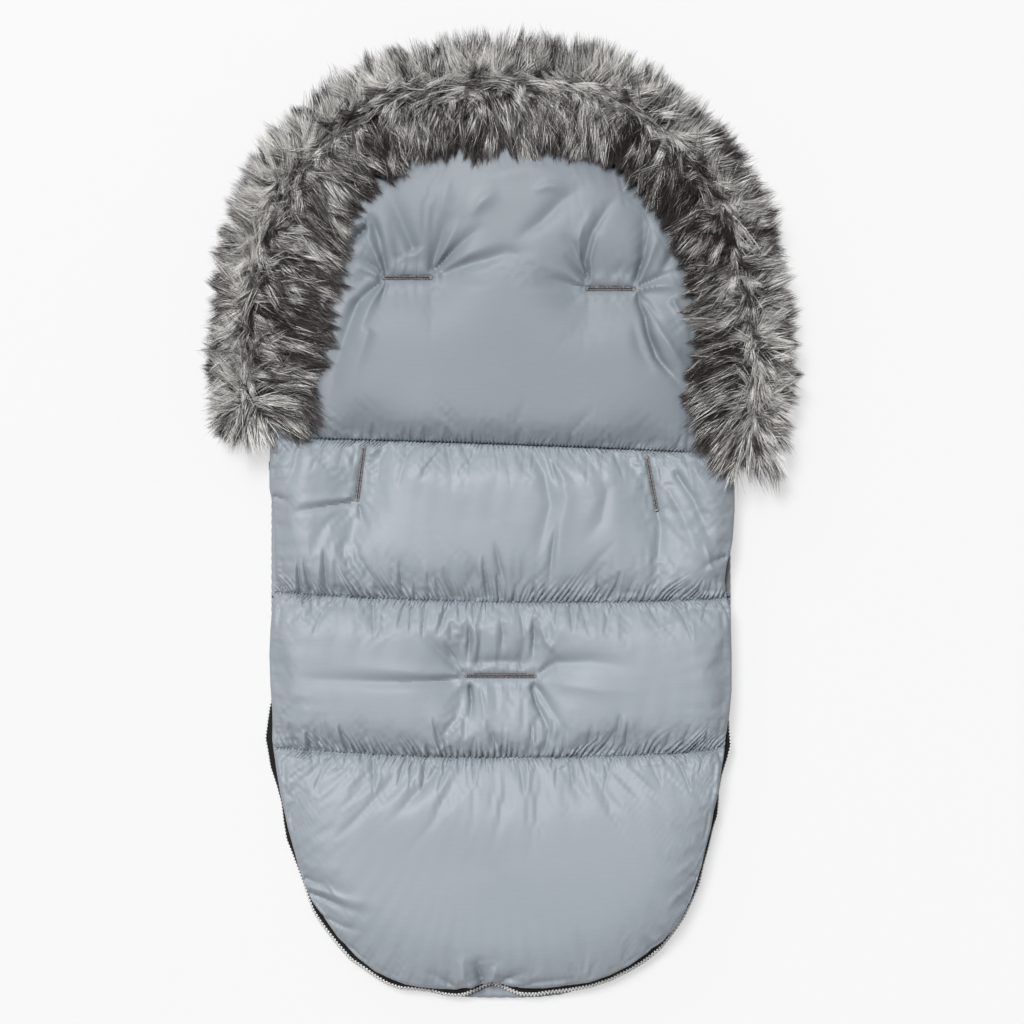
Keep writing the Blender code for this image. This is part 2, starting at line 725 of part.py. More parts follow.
def zip_slider(name, hand, slider_y, paint):
    body = slider_plate(name, hand, slider_y, True, paint)
    unite(body, slider_plate(name + "_inner_plate", hand, slider_y, False, paint))
    unite(body, slider_diamond(name + "_diamond", hand, slider_y, paint))
    unite(body, slider_bridge(name + "_bridge", hand, slider_y, paint))
    return body


def pull_pivot():
    """How far out of the chain's face the pull's bar turns."""
    return GAP + SLIDER_PLATE + (BRIDGE_HEIGHT - BRIDGE_ROOF) / 2


def zip_pull(name, hand, slider_y, points, paint):
    """A flat pull with an eye round the slider's bridge. It points along the chain, 1 or -1 by points.

    Its origin is on its own turning axis, so its mesh is made about zero.
    """
    half = PULL_WIDTH / 2
    tip = PULL_TIP_WIDTH / 2
    bar = PULL_THICK / 2
    eye_half = BRIDGE_WIDTH / 2 + PULL_EYE_PLAY
    eye_end = BRIDGE_LENGTH / 2 + PULL_EYE_PLAY
    outline = [(-bar, -half), (eye_end, -half), (PULL_LENGTH - tip, -tip)]
    for step in range(1, SLOT_END_STEPS):
        turn = math.pi * step / SLOT_END_STEPS - math.pi / 2
        outline.append((PULL_LENGTH - tip + tip * math.cos(turn), tip * math.sin(turn)))
    outline += [(PULL_LENGTH - tip, tip), (eye_end, half), (-bar, half)]
    bm = bmesh.new()
    near = [(hand * -bar, points * along, across) for along, across in outline]
    far = [(hand * bar, points * along, across) for along, across in outline]
    prism(bm, near, far)
    made = finish(bm, name, paint, smooth=False)
    eye = [(bar, -eye_half), (eye_end, -eye_half), (eye_end, eye_half), (bar, eye_half)]
    bm = bmesh.new()
    low = [(-PULL_THICK, points * along, across) for along, across in eye]
    high = [(PULL_THICK, points * along, across) for along, across in eye]
    prism(bm, low, high)
    window = finish(bm, name + "_eye", paint, smooth=False)
    window.hide_render = True
    window.display_type = "WIRE"
    cut(made, window)
    window.parent = made
    made.location = chain_place(hand, slider_y, 0.0, 0.0, pull_pivot())
    return made


# Fur trim
def fur_route():
    """Plan points on the head section's edge, from the left end round the head to the right end."""
    edge = [(-SHELL_HALF_WIDTH, FUR_LEFT_END_Y)]
    for step in range(HEAD_ARC_STEPS + 1):
        turn = math.pi * (1 - step / HEAD_ARC_STEPS)
        edge.append((SHELL_HALF_WIDTH * math.cos(turn), HEAD_CENTRE_Y + SHELL_HALF_WIDTH * math.sin(turn)))
    return edge + [(SHELL_HALF_WIDTH, FUR_RIGHT_END_Y)]


def sweep_round_head(name, profile, paint):
    """Carries a closed profile of (out, z) points round the head section's edge."""
    bm = bmesh.new()
    loops = []
    for x, y in fur_route():
        above = max(y - HEAD_CENTRE_Y, 0.0)
        length = math.hypot(x, above)
        out_x, out_y = x / length, above / length
        loops.append(add_loop(bm, [(x + out_x * out, y + out_y * out, z) for out, z in profile]))
    for first, second in zip(loops, loops[1:]):
        join_loops(bm, first, second)
    bm.faces.new(loops[0][::-1])
    bm.faces.new(loops[-1])
    return finish(bm, name, paint)


def under_fur_top(out):
    """Top of the head section this far out from its edge, under the fur."""
    inside = min(max(-out / FUR_INNER_REACH, 0.0), 1.0)
    return BACK_LINING_TOP + RIM_HEIGHT + UNDER_FUR_RISE * inside


def backing_profile():
    """A folded strip round the section's edge, that the pile stands on."""
    wide = FUR_INNER_REACH - FUR_LIP
    narrow = wide - FUR_LOWER_INSET
    thick = GAP + BACKING
    near, far = FUR_EDGE_PLAY, FUR_EDGE_PLAY + BACKING
    inner = [(-narrow, BACK_LINING_BASE - GAP), (near, BACK_LINING_BASE - GAP)]
    inner += [(near, under_fur_top(0.0) + GAP), (-wide, under_fur_top(-wide) + GAP)]
    outer = [(-wide, under_fur_top(-wide) + thick), (far, under_fur_top(0.0) + thick)]
    outer += [(far, BACK_LINING_BASE - thick), (-narrow, BACK_LINING_BASE - thick)]
    return inner + outer


def fur_profile():
    """The pile's outer shape, puffed above and below the edge, hollow where the backing lies."""
    clear = 2 * GAP + BACKING
    inner, lower = -FUR_INNER_REACH, -FUR_INNER_REACH + FUR_LOWER_INSET
    root = FUR_EDGE_PLAY + BACKING + GAP
    groove = [(lower, BACK_LINING_BASE - clear), (root, BACK_LINING_BASE - clear)]
    groove += [(root, under_fur_top(0.0) + clear), (inner, under_fur_top(inner) + clear)]
    upper_shares = ((0.90, 0.86), (0.55, 0.95), (0.10, 1.0))
    outer_shares = ((0.45, 0.93), (0.80, 0.76), (1.0, 0.48), (0.86, 0.20), (0.55, 0.05), (0.25, 0.0))
    lower_shares = ((0.35, 0.0), (0.70, 0.07), (0.92, 0.24))
    pile = [(inner * out, FUR_HEIGHT * high) for out, high in upper_shares]
    pile += [(FUR_OUTER_REACH * out, FUR_HEIGHT * high) for out, high in outer_shares]
    pile += [(lower * out, FUR_HEIGHT * high) for out, high in lower_shares]
    return groove + pile


def cover_binding(name, paint):
    """A bound edge along the front cover's top."""
    half = SHELL_HALF_WIDTH - LINING_INSET
    near = COVER_TOP_Y + GAP
    low, high = COVER_VALLEY - FLAT_CUT, COVER_LINING_TOP
    outline = [(near, low), (near + BINDING_DEPTH * 0.7, low), (near + BINDING_DEPTH, (low + high) / 2)]
    outline += [(near + BINDING_DEPTH * 0.7, high), (near, high)]
    bm = bmesh.new()
    prism(bm, [(-half, y, z) for y, z in outline], [(half, y, z) for y, z in outline])
    return finish(bm, name, paint)


def build():
    clear_scene()
    shell = material("shell_taffeta", (0.36, 0.41, 0.45), 0.35)
    cover_shell = material("cover_taffeta", (0.36, 0.41, 0.45), 0.38)
    wadding = material("polyester_wadding", (0.85, 0.85, 0.83), 0.95)
    fleece = material("fleece_lining", (0.55, 0.55, 0.53), 0.95)
    thread = material("slot_edging_thread", (0.19, 0.16, 0.16), 0.7)
    tape = material("zip_tape_polyester", (0.012, 0.013, 0.014), 0.8)
    tooth = material("zip_teeth_acetal", (0.62, 0.63, 0.62), 0.3, 0.3)
    slider = material("slider_painted_zinc", (0.02, 0.02, 0.022), 0.35, 0.8)
    pull = material("pull_painted_zinc", (0.02, 0.02, 0.022), 0.35, 0.8)
    fur = material("fur_pile", (0.26, 0.26, 0.23), 0.9)
    knit = material("fur_knit_backing", (0.10, 0.10, 0.09), 0.95)
    bound = material("cover_binding_tape", (0.30, 0.34, 0.37), 0.6)

    wide, reach = SHELL_HALF_WIDTH, SHELL_FOOT_REACH
    back_hem = BACK_LINING_TOP + GAP
    sections = {
        "head": head_patch(SEAM_HEAD, wide),
        "waist": band_patch(SEAM_HEAD, SEAM_WAIST, wide, reach),
        "seat": band_patch(SEAM_WAIST, SEAM_SEAT, wide, reach),
        "foot": foot_patch(SEAM_SEAT, wide, reach),
    }
    slots_in = {"head": SLOTS[:2], "waist": SLOTS[2:4], "seat": SLOTS[4:], "foot": ()}
    cutters = {slot[0]: slot_cutter(slot, thread) for slot in SLOTS}
    for section, place in sections.items():
        top = shell_cap(section + "_shell", place, back_height, back_hem, 1, shell)
        block = wadding_block(section + "_wadding", place, back_height, back_hem, 1, wadding)
        for slot in slots_in[section]:
            cut(top, cutters[slot[0]])
            cut(block, cutters[slot[0]])
    lining = sheet("back_lining", back_outline(LINING_INSET), BACK_LINING_BASE, BACK_LINING_TOP, fleece)
    for slot in SLOTS:
        cut(lining, cutters[slot[0]])
        slot_edging(slot, thread)

    cover_hem = COVER_DEPTH - GAP
    cover_reach = COVER_FOOT_REACH
    top_seam = straight_seam(COVER_TOP_Y)
    waist_seam = straight_seam(COVER_SEAM_WAIST_Y)
    seat_seam = straight_seam(COVER_SEAM_SEAT_Y)
    cover_sections = {
        "cover_chest": band_patch(top_seam, waist_seam, wide, cover_reach),
        "cover_lap": band_patch(waist_seam, seat_seam, wide, cover_reach),
        "cover_foot": foot_patch(seat_seam, wide, cover_reach),
    }
    for section, place in cover_sections.items():
        shell_cap(section + "_shell", place, cover_underside, cover_hem, -1, cover_shell)
        wadding_block(section + "_wadding", place, cover_underside, cover_hem, -1, wadding)
    sheet("cover_lining", cover_outline(LINING_INSET), COVER_DEPTH, COVER_LINING_TOP, fleece)
    cover_binding("cover_top_binding", bound)

    zip_tape("zip_tape_back", 1, BACK_LINING_TOP, SHELL_FOOT_REACH, tape)
    zip_tape("zip_tape_cover", -1, COVER_DEPTH, COVER_FOOT_REACH, tape)
    teeth_comb("zip_teeth_back", 1, tooth)
    teeth_comb("zip_teeth_cover", -1, tooth)
    for hand, word, slider_y, points in ((-1, "left", SLIDER_LEFT_Y, 1), (1, "right", SLIDER_RIGHT_Y, -1)):
        zip_stop("zip_stop_back_" + word, hand, 1, slider_y, tooth)
        zip_stop("zip_stop_cover_" + word, hand, -1, slider_y, tooth)
        zip_slider("zip_slider_" + word, hand, slider_y, slider)
        zip_pull("zip_pull_" + word, hand, slider_y, points, pull)

    sweep_round_head("fur_backing", backing_profile(), knit)
    sweep_round_head("fur_trim", fur_profile(), fur)


build()
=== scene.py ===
# %% [markdown]
# # A stroller footmuff, lying face down on a pale floor
# The footmuff is a quilted bag of satin taffeta with a fur trimmed head, closed all round by a zip.
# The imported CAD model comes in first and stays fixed: it gives every piece its place, its body and its
# space. Each soft solid is then replaced by a piece that looks like the real cloth, fur or tape.

import math

import bmesh
import bpy
import numpy as np
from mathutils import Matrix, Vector


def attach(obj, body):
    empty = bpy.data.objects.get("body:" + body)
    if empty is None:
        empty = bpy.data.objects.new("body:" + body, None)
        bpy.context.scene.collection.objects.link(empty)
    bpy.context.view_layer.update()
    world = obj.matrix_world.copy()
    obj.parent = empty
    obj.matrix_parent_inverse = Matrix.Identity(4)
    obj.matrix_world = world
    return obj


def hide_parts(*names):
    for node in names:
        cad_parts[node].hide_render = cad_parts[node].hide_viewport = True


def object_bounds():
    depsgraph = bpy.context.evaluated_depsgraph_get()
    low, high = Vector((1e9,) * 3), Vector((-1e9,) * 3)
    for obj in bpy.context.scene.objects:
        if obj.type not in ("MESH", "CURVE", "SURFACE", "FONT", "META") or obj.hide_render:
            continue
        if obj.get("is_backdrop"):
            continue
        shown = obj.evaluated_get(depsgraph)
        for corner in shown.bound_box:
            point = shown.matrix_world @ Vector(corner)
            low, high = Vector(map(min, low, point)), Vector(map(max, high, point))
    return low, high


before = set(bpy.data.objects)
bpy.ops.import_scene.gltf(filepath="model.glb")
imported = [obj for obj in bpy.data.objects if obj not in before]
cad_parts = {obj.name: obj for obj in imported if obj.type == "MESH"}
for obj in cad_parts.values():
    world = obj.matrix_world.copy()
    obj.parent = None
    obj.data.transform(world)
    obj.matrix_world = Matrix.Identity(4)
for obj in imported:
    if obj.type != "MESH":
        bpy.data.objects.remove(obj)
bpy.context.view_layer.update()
bpy.ops.object.select_all(action="DESELECT")

# %% [markdown]
# ## The photograph's frame
# The photograph looks straight down. One of its pixels is 0.9636 mm on the footmuff, and the point that
# the CAD model calls its origin is at pixel (501, 515). An outline, a fold or a parting that follows the
# photograph is written in its pixels and turned into metres by one function.

# %% Pixels to metres
MM = 0.001
PIXEL = 0.9636 * MM
ORIGIN_PIXEL = (501, 515)
PICTURE_MIDDLE = (512, 512)
PICTURE_WIDTH = 1024


def from_pixels(x, y):
    return (x - ORIGIN_PIXEL[0]) * PIXEL, (ORIGIN_PIXEL[1] - y) * PIXEL


# %% [markdown]
# ## Camera
# Small things like this are photographed flat from a couple of metres up, with a short telephoto lens,
# so that the edges aren't stretched. An 85 mm lens at that distance takes in just the photograph's width.

# %% Camera
LENS = 85.0
SENSOR = 36.0
FOCUS_Z = 36 * MM

scene = bpy.context.scene
scene.view_settings.view_transform = "Standard"
middle_x, middle_y = from_pixels(*PICTURE_MIDDLE)
camera_height = FOCUS_Z + PICTURE_WIDTH * PIXEL * LENS / SENSOR
bpy.ops.object.camera_add(location=(middle_x, middle_y, camera_height), rotation=(0, 0, 0))
camera = bpy.context.object
camera.data.lens = LENS
camera.data.sensor_width = SENSOR
scene.camera = camera
print("Camera height, metres:", round(camera_height, 3))


def seen_at(points, z):
    """Plan points that the camera sees at these places when they lie at another height than its focus."""
    middle = np.array((middle_x, middle_y))
    return middle + (np.asarray(points) - middle) * (camera_height - z) / (camera_height - FOCUS_Z)


# %% [markdown]
# ## Light
# One wide soft light falls evenly from above, leaning from the head end and the left, so that the cloth is
# darker where it turns down to a seam on the foot's side. A weaker lamp beyond the head end and the pale
# room lift the shadows. The camera alone sees the world as white.

# %% Lamps and world
KEY_PLACE = (-0.50, 0.80, 2.35)
KEY_WIDTH = math.radians(15)
KEY_STRENGTH = 3.15
FILL_PLACE = (-1.6, 2.8, 2.4)
FILL_SIZE = 1.5
FILL_POWER = 14.0
WORLD_LEVEL = 0.17


def aimed(lamp, target):
    """Turns a lamp to look at a place."""
    lamp.rotation_euler = (Vector(target) - lamp.location).to_track_quat("-Z", "Y").to_euler()
    return lamp


bpy.ops.object.light_add(type="SUN", location=KEY_PLACE)
key_lamp = aimed(bpy.context.object, (0, 0, 0))
key_lamp.name = "key_lamp"
key_lamp.data.angle = KEY_WIDTH
key_lamp.data.energy = KEY_STRENGTH
bpy.ops.object.light_add(type="AREA", location=FILL_PLACE)
fill_lamp = aimed(bpy.context.object, (0, 0, 0))
fill_lamp.name = "fill_lamp"
fill_lamp.data.size = FILL_SIZE
fill_lamp.data.energy = FILL_POWER


def add_node(owner, kind, settings=None, links=()):
    """Adds a node. Settings fill its properties or its inputs, links are (input, node, output)."""
    node = owner.node_tree.nodes.new(kind)
    for name, value in (settings or {}).items():
        if isinstance(name, int) or name in node.inputs.keys():
            node.inputs[name].default_value = value
        else:
            setattr(node, name, value)
    for socket, source, output in links:
        owner.node_tree.links.new(source.outputs[output], node.inputs[socket])
    return node


world = bpy.data.worlds.new("studio")
scene.world = world
world.use_nodes = True
world.node_tree.nodes.clear()
rays = add_node(world, "ShaderNodeLightPath")
seen = add_node(world, "ShaderNodeMath", {"operation": "MAXIMUM"},
                [(0, rays, "Is Camera Ray"), (1, rays, "Is Transmission Ray")])
level = add_node(world, "ShaderNodeMapRange", {"To Min": WORLD_LEVEL, "To Max": 1.0}, [("Value", seen, 0)])
glow = add_node(world, "ShaderNodeBackground", {"Color": (0.98, 0.99, 1.0, 1.0)},
                [("Strength", level, 0)])
add_node(world, "ShaderNodeOutputWorld", links=[("Surface", glow, 0)])

# %% [markdown]
# ## Floor
# The floor is a plain pale sheet. Its own light, which only the camera and mirrors see, lifts it to the
# photograph's near white without putting more light on the footmuff, and the shadow stays.

# %% Floor
FLOOR_SIZE = 40.0
FLOOR_COLOUR = (0.30, 0.30, 0.30, 1.0)
FLOOR_GLOW = 0.60

bpy.ops.mesh.primitive_plane_add(size=FLOOR_SIZE, location=(0, 0, -0.3 * MM))
floor = bpy.context.object
floor.name = "floor"
bpy.ops.object.transform_apply(location=True, rotation=True, scale=True)


def blank_material(name):
    """A new material that has no nodes yet."""
    made = bpy.data.materials.new(name)
    made.use_nodes = True
    made.node_tree.nodes.clear()
    return made


paper = blank_material("pale_studio_paper")
rays = add_node(paper, "ShaderNodeLightPath")
seen = add_node(paper, "ShaderNodeMath", {"operation": "ADD", "use_clamp": True},
                [(0, rays, "Is Camera Ray"), (1, rays, "Is Glossy Ray")])
lift = add_node(paper, "ShaderNodeMath", {"operation": "MULTIPLY", 1: FLOOR_GLOW}, [(0, seen, 0)])
matt = add_node(paper, "ShaderNodeBsdfDiffuse", {"Color": FLOOR_COLOUR})
own_light = add_node(paper, "ShaderNodeEmission", {"Color": (1, 1, 1, 1)}, [("Strength", lift, 0)])
both = add_node(paper, "ShaderNodeAddShader", links=[(0, matt, 0), (1, own_light, 0)])
add_node(paper, "ShaderNodeOutputMaterial", links=[("Surface", both, 0)])
floor.data.materials.append(paper)
floor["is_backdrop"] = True

# %% [markdown]
# ## Colours
# Colours are written as the hex values that a screen shows, and turned into the linear values that the
# shaders work with.

# %% Colour helper


def linear(hex_colour):
    parts = [int(hex_colour[i:i + 2], 16) / 255 for i in (1, 3, 5)]
    return (*[p / 12.92 if p <= 0.04045 else ((p + 0.055) / 1.055) ** 2.4 for p in parts], 1.0)


# %% [markdown]
# ## Satin taffeta
# The shell is polyester taffeta: a tight plain weave of fine bright yarn, calendered, so it has a soft
# wide gloss, brightest along the crests. The yarns lie 0.16 mm apart, which is finer than a pixel here,
# so the weave is drawn five times coarser and very shallow, only to break the gloss into a faint grain.
# Thicker yarns, called slubs, run across the cloth and show as faint streaks.

# %% Taffeta
YARN = 0.16 * MM
DRAWN_YARN = 5 * YARN
SLUB_WIDTH = 1.6 * MM
SLUB_LENGTH = 22 * MM


def taffeta(name, hex_colour, roughness):
    made = blank_material(name)
    place = add_node(made, "ShaderNodeTexCoord")
    weave = []
    for axis in ("X", "Y"):
        weave.append(add_node(made, "ShaderNodeTexWave", {
            "wave_type": "BANDS", "bands_direction": axis, "Scale": math.pi / 10 / DRAWN_YARN,
            "Distortion": 1.2, "Detail": 2.0, "Detail Scale": 1.5,
        }, [("Vector", place, "Object")]))
    woven = add_node(made, "ShaderNodeMath", {"operation": "MULTIPLY"},
                     [(0, weave[0], 1), (1, weave[1], 1)])
    squeeze = add_node(made, "ShaderNodeMapping", {
        "Scale": (1 / SLUB_LENGTH, 1 / SLUB_WIDTH, 1 / SLUB_WIDTH),
    }, [("Vector", place, "Object")])
    slub = add_node(made, "ShaderNodeTexNoise", {"Scale": 1.0, "Detail": 3.0}, [("Vector", squeeze, 0)])
    cloud = add_node(made, "ShaderNodeTexNoise", {"Scale": 9.0, "Detail": 2.0},
                     [("Vector", place, "Object")])
    base = linear(hex_colour)
    shades = add_node(made, "ShaderNodeValToRGB", links=[("Fac", slub, 0)])
    ramp = shades.color_ramp.elements
    ramp[0].position, ramp[0].color = 0.30, (*[c * 0.98 for c in base[:3]], 1)
    ramp[1].position, ramp[1].color = 0.72, (*[min(c * 1.02, 1) for c in base[:3]], 1)
    gloss = add_node(made, "ShaderNodeMapRange", {
        "From Min": 0.3, "From Max": 0.7, "To Min": roughness - 0.03, "To Max": roughness + 0.05,
    }, [("Value", cloud, 0)])
    fine = add_node(made, "ShaderNodeBump", {"Strength": 0.10, "Distance": 0.08 * MM},
                    [("Height", woven, 0)])
    coarse = add_node(made, "ShaderNodeBump", {"Strength": 0.10, "Distance": 0.10 * MM},
                      [("Height", slub, 0), ("Normal", fine, 0)])
    shader = add_node(made, "ShaderNodeBsdfPrincipled", {
        "IOR": 1.5, "Sheen Weight": 0.12, "Sheen Roughness": 0.4, "Anisotropic": 0.25,
    }, [("Base Color", shades, 0), ("Roughness", gloss, 0), ("Normal", coarse, 0)])
    add_node(made, "ShaderNodeOutputMaterial", links=[("Surface", shader, 0)])
    return made


# The head panel's colour is darker: painted shade for the weaker light and sheen at the head end
shell_cloth = taffeta("satin_taffeta_shell", "#979FA6", 0.52)
head_cloth_painted_shade = taffeta("satin_taffeta_painted_shade", "#868E95", 0.54)
cover_cloth = taffeta("satin_taffeta_cover", "#9BA3AA", 0.45)

# %% [markdown]
# ## The plan of the back
# The back is four sections between its outline and three cross seams. The straight sides run into a
# half circle at the head and a squarer rounded end at the foot. These are the CAD model's own curves.

# %% Outline and seams
HALF_LENGTH = 465.5 * MM
SHELL_HALF_WIDTH = 222.5 * MM
FUR_OUTER_REACH = 62.5 * MM
FUR_INNER_REACH = 52 * MM
CHAIN_FOOT_REACH = 284 * MM
CHAIN_INSET = 3 * MM
COVER_PROUD = 3 * MM
TAPE_SHOWING = 5.5 * MM
FOOT_POWER = 2.5
CHAIN_HALF_WIDTH = SHELL_HALF_WIDTH - CHAIN_INSET
HEAD_CENTRE_Y = HALF_LENGTH - FUR_OUTER_REACH - SHELL_HALF_WIDTH
FOOT_CENTRE_Y = CHAIN_FOOT_REACH + COVER_PROUD - HALF_LENGTH
SHELL_FOOT_REACH = CHAIN_FOOT_REACH - TAPE_SHOWING
COVER_FOOT_REACH = CHAIN_FOOT_REACH + COVER_PROUD
SEAM_HEAD = (74 * MM, 16 * MM, -2 * MM)
SEAM_WAIST = (-74 * MM, 6 * MM, 6.5 * MM)
SEAM_SEAT = (-223 * MM, 2 * MM, 9 * MM)


def seam_y(seam, x):
    left_y, drop, sag = seam
    share = (x + SHELL_HALF_WIDTH) / (2 * SHELL_HALF_WIDTH)
    return left_y - drop * share - sag * (1 - (x / SHELL_HALF_WIDTH) ** 2)


def foot_point(angle, half_width, reach):
    across = -np.sign(np.cos(angle)) * np.abs(np.cos(angle)) ** (2 / FOOT_POWER)
    along = np.maximum(np.sin(angle), 0) ** (2 / FOOT_POWER)
    return np.stack([half_width * across, FOOT_CENTRE_Y - reach * along], axis=-1)


def foot_half_width(y, half_width, reach):
    past = np.maximum(FOOT_CENTRE_Y - y, 0) / reach
    return half_width * np.maximum(1 - past ** FOOT_POWER, 0) ** (1 / FOOT_POWER)


def edge_distance(x, y, half_width, reach):
    """Roughly how far inside the outline each point lies."""
    side = half_width - np.abs(x)
    head = half_width - np.hypot(x, y - HEAD_CENTRE_Y)
    past = np.maximum(FOOT_CENTRE_Y - y, 0) / reach
    level = (np.abs(x) / half_width) ** FOOT_POWER + past ** FOOT_POWER
    foot = half_width * (1 - level ** (1 / FOOT_POWER))
    return np.where(y > HEAD_CENTRE_Y, head, np.where(y > FOOT_CENTRE_Y, side, foot))


def head_point(angle, half_width):
    """A point on the head's arc. The angle runs from the right end round to the left."""
    return np.stack([half_width * np.cos(angle), HEAD_CENTRE_Y + half_width * np.sin(angle)], axis=-1)


def length_of(line):
    return np.linalg.norm(np.diff(line, axis=0), axis=1).sum()


def unit(vectors):
    return vectors / np.linalg.norm(vectors, axis=-1, keepdims=True)


def evenly(points, shares):
    """Points at these shares of the length of a drawn line."""
    points = np.asarray(points, float)
    run = np.concatenate([[0], np.cumsum(np.linalg.norm(np.diff(points, axis=0), axis=1))])
    return np.stack([np.interp(np.asarray(shares) * run[-1], run, points[:, i]) for i in range(2)], axis=-1)


# %% [markdown]
# ## The outline as it lies
# Stuffed cloth doesn't keep to a drawn curve: its edge is pulled in at the waist seam, pushed out round the
# foot, and the zip wanders out from under it and rises to a hump at the foot. The edge of the shell, the
# outer face of the chain and the rim of the cover follow the photograph. Most of their points are where
# its brightness changes along rows of its pixels, the others were read from enlarged views of it, and
# many were then moved a little. Everything near an edge is moved outward or inward by the distance
# between this line and the plain one.

# %% Drawn outlines
SHELL_LINE = (
    (270, 440), (269, 470), (269, 488), (272.5, 506), (273.5, 533), (274.5, 587), (272, 605),
    (270, 630), (269, 655), (270, 686), (272, 713), (272, 740), (274, 758), (277, 776), (280, 794),
    (284, 812), (288, 830), (293, 848), (298, 866), (304, 884), (312, 901), (325, 920), (338, 938),
    (356, 957), (375, 972), (392, 980), (405, 985), (420, 988), (440, 990), (455, 991), (468, 989),
    (480, 986), (492, 983), (502, 985), (520, 989), (545, 989), (570, 986), (590, 983), (610, 976),
    (630, 966), (648, 953), (664, 941), (674, 930), (682, 919), (690, 902), (696, 885), (702, 866),
    (706, 848), (711, 830), (714, 812), (719, 792), (721, 776), (724, 758), (726, 740), (730, 713),
    (732, 690), (732, 655), (731, 610), (727, 597), (725, 580), (727, 565), (731, 551), (733, 540),
    (735, 510), (735, 485), (732, 465), (732, 440),
)
CHAIN_LINE = (
    (273, 440), (273, 482), (276, 506), (277.5, 533), (278, 587), (275, 608), (273, 632), (273, 690),
    (269, 708), (267, 722), (265, 738), (267, 749), (270, 767), (276, 785), (281, 803), (283, 821),
    (286, 839), (293, 857), (303, 884), (307, 896), (312, 910), (318, 920), (325, 930), (336, 944),
    (343, 952), (350, 960), (362, 968), (376, 978), (388, 985), (400, 989), (415, 990), (430, 991.5),
    (443, 995), (455, 996.5), (465, 995.5), (475, 991), (485, 986), (492, 984), (500, 986), (510, 991),
    (520, 995), (535, 995.5), (550, 993), (570, 991), (590, 987.5), (610, 981), (630, 971), (645, 962),
    (659, 951), (669, 939), (677, 928), (684, 918), (692, 902), (700, 884), (704, 866), (709, 848),
    (713, 830), (718, 815), (719, 803), (719, 792), (722, 776), (728, 758), (731, 745), (730, 731),
    (729, 718), (729, 690), (729, 655), (728, 612), (724, 597), (722, 580), (724, 565), (727, 551),
    (729, 538), (729, 440),
)
COVER_LINE = (
    (271, 440), (271, 690), (271, 738), (274, 767), (281, 790), (286, 810), (290, 839), (297, 857),
    (306, 880), (316, 908), (322, 918), (341, 943), (356, 959), (380, 975), (404, 986), (415, 989),
    (427, 992), (443, 996), (470, 998), (490, 998.4), (520, 998.4), (540, 997.6), (560, 995.5),
    (577, 991), (606, 979), (626, 969), (641, 959), (665, 935), (680, 914), (697, 880), (705, 845),
    (710, 825), (715, 800), (716, 785), (722, 765), (727, 745), (729, 718), (731, 690), (731, 440),
)
LINES_START_Y = 75 * MM
LINES_FADE_IN = 20 * MM
SIDES_MEET = 6 * MM


def edge_key(x, y, half_width, reach):
    """A number that falls from the head end to the foot's middle along either side of an outline."""
    past = np.maximum(FOOT_CENTRE_Y - y, 0) / reach
    turn = np.arctan2(past ** (FOOT_POWER / 2), (np.abs(x) / half_width) ** (FOOT_POWER / 2))
    return np.where(y > FOOT_CENTRE_Y, y, FOOT_CENTRE_Y - turn * half_width)


class DrawnEdge:
    """How far a drawn line lies outside a plain outline, on either side."""

    def __init__(self, line, half_width, reach, z):
        self.half_width, self.reach = half_width, reach
        arc = foot_point(np.linspace(0, math.pi, 1600), half_width, reach)
        sides = np.linspace(LINES_START_Y, FOOT_CENTRE_Y, 500)[:-1]
        left = np.stack([np.full_like(sides, -half_width), sides], axis=-1)
        plain = np.vstack([left, arc, (left * (-1, 1))[::-1]])
        ahead = unit(np.gradient(plain, axis=0))
        out = np.stack([ahead[:, 1], -ahead[:, 0]], axis=-1)
        drawn = evenly(seen_at([from_pixels(*p) for p in line], z), np.linspace(0, 1, 900))
        nearest = np.argmin(np.linalg.norm(drawn[:, None] - plain[None], axis=-1), axis=1)
        gap = np.einsum("ij,ij->i", drawn - plain[nearest], out[nearest])
        key = edge_key(plain[nearest, 0], plain[nearest, 1], half_width, reach)
        self.tables = []
        for hand in (-1, 1):
            mine = plain[nearest, 0] * hand > 0
            order = np.argsort(key[mine], kind="stable")
            self.tables.append((key[mine][order], gap[mine][order]))
        print(f"Drawn edge: from {gap.min() / MM:.1f} to {gap.max() / MM:.1f} mm outside the plain one")

    def gap(self, x, y):
        key = edge_key(x, y, self.half_width, self.reach)
        left, right = [np.interp(key, *table) for table in self.tables]
        middle = np.clip(0.5 + x / SIDES_MEET, 0, 1)
        return left * (1 - middle) + right * middle

    def moved(self, points, depth):
        """Points moved with the edge: fully at it, and less and less up to some depths inside it."""
        x, y = points[..., 0], points[..., 1]
        inside = np.maximum(edge_distance(x, y, self.half_width, self.reach), 0)
        past = np.maximum(FOOT_CENTRE_Y - y, 0) / self.reach
        out_x = np.sign(x) * (np.abs(x) / self.half_width) ** (FOOT_POWER - 1) / self.half_width
        out_y = -past ** (FOOT_POWER - 1) / self.reach
        long = np.maximum(np.hypot(out_x, out_y), 1e-9)
        below_start = np.clip((LINES_START_Y - y) / LINES_FADE_IN, 0, 1)
        shift = self.gap(x, y) * np.exp(-(inside / depth) ** 2) * below_start
        after = np.array(points, float)
        after[..., 0] += shift * out_x / long
        after[..., 1] += shift * out_y / long
        return after


EDGE_DEPTH = 26 * MM
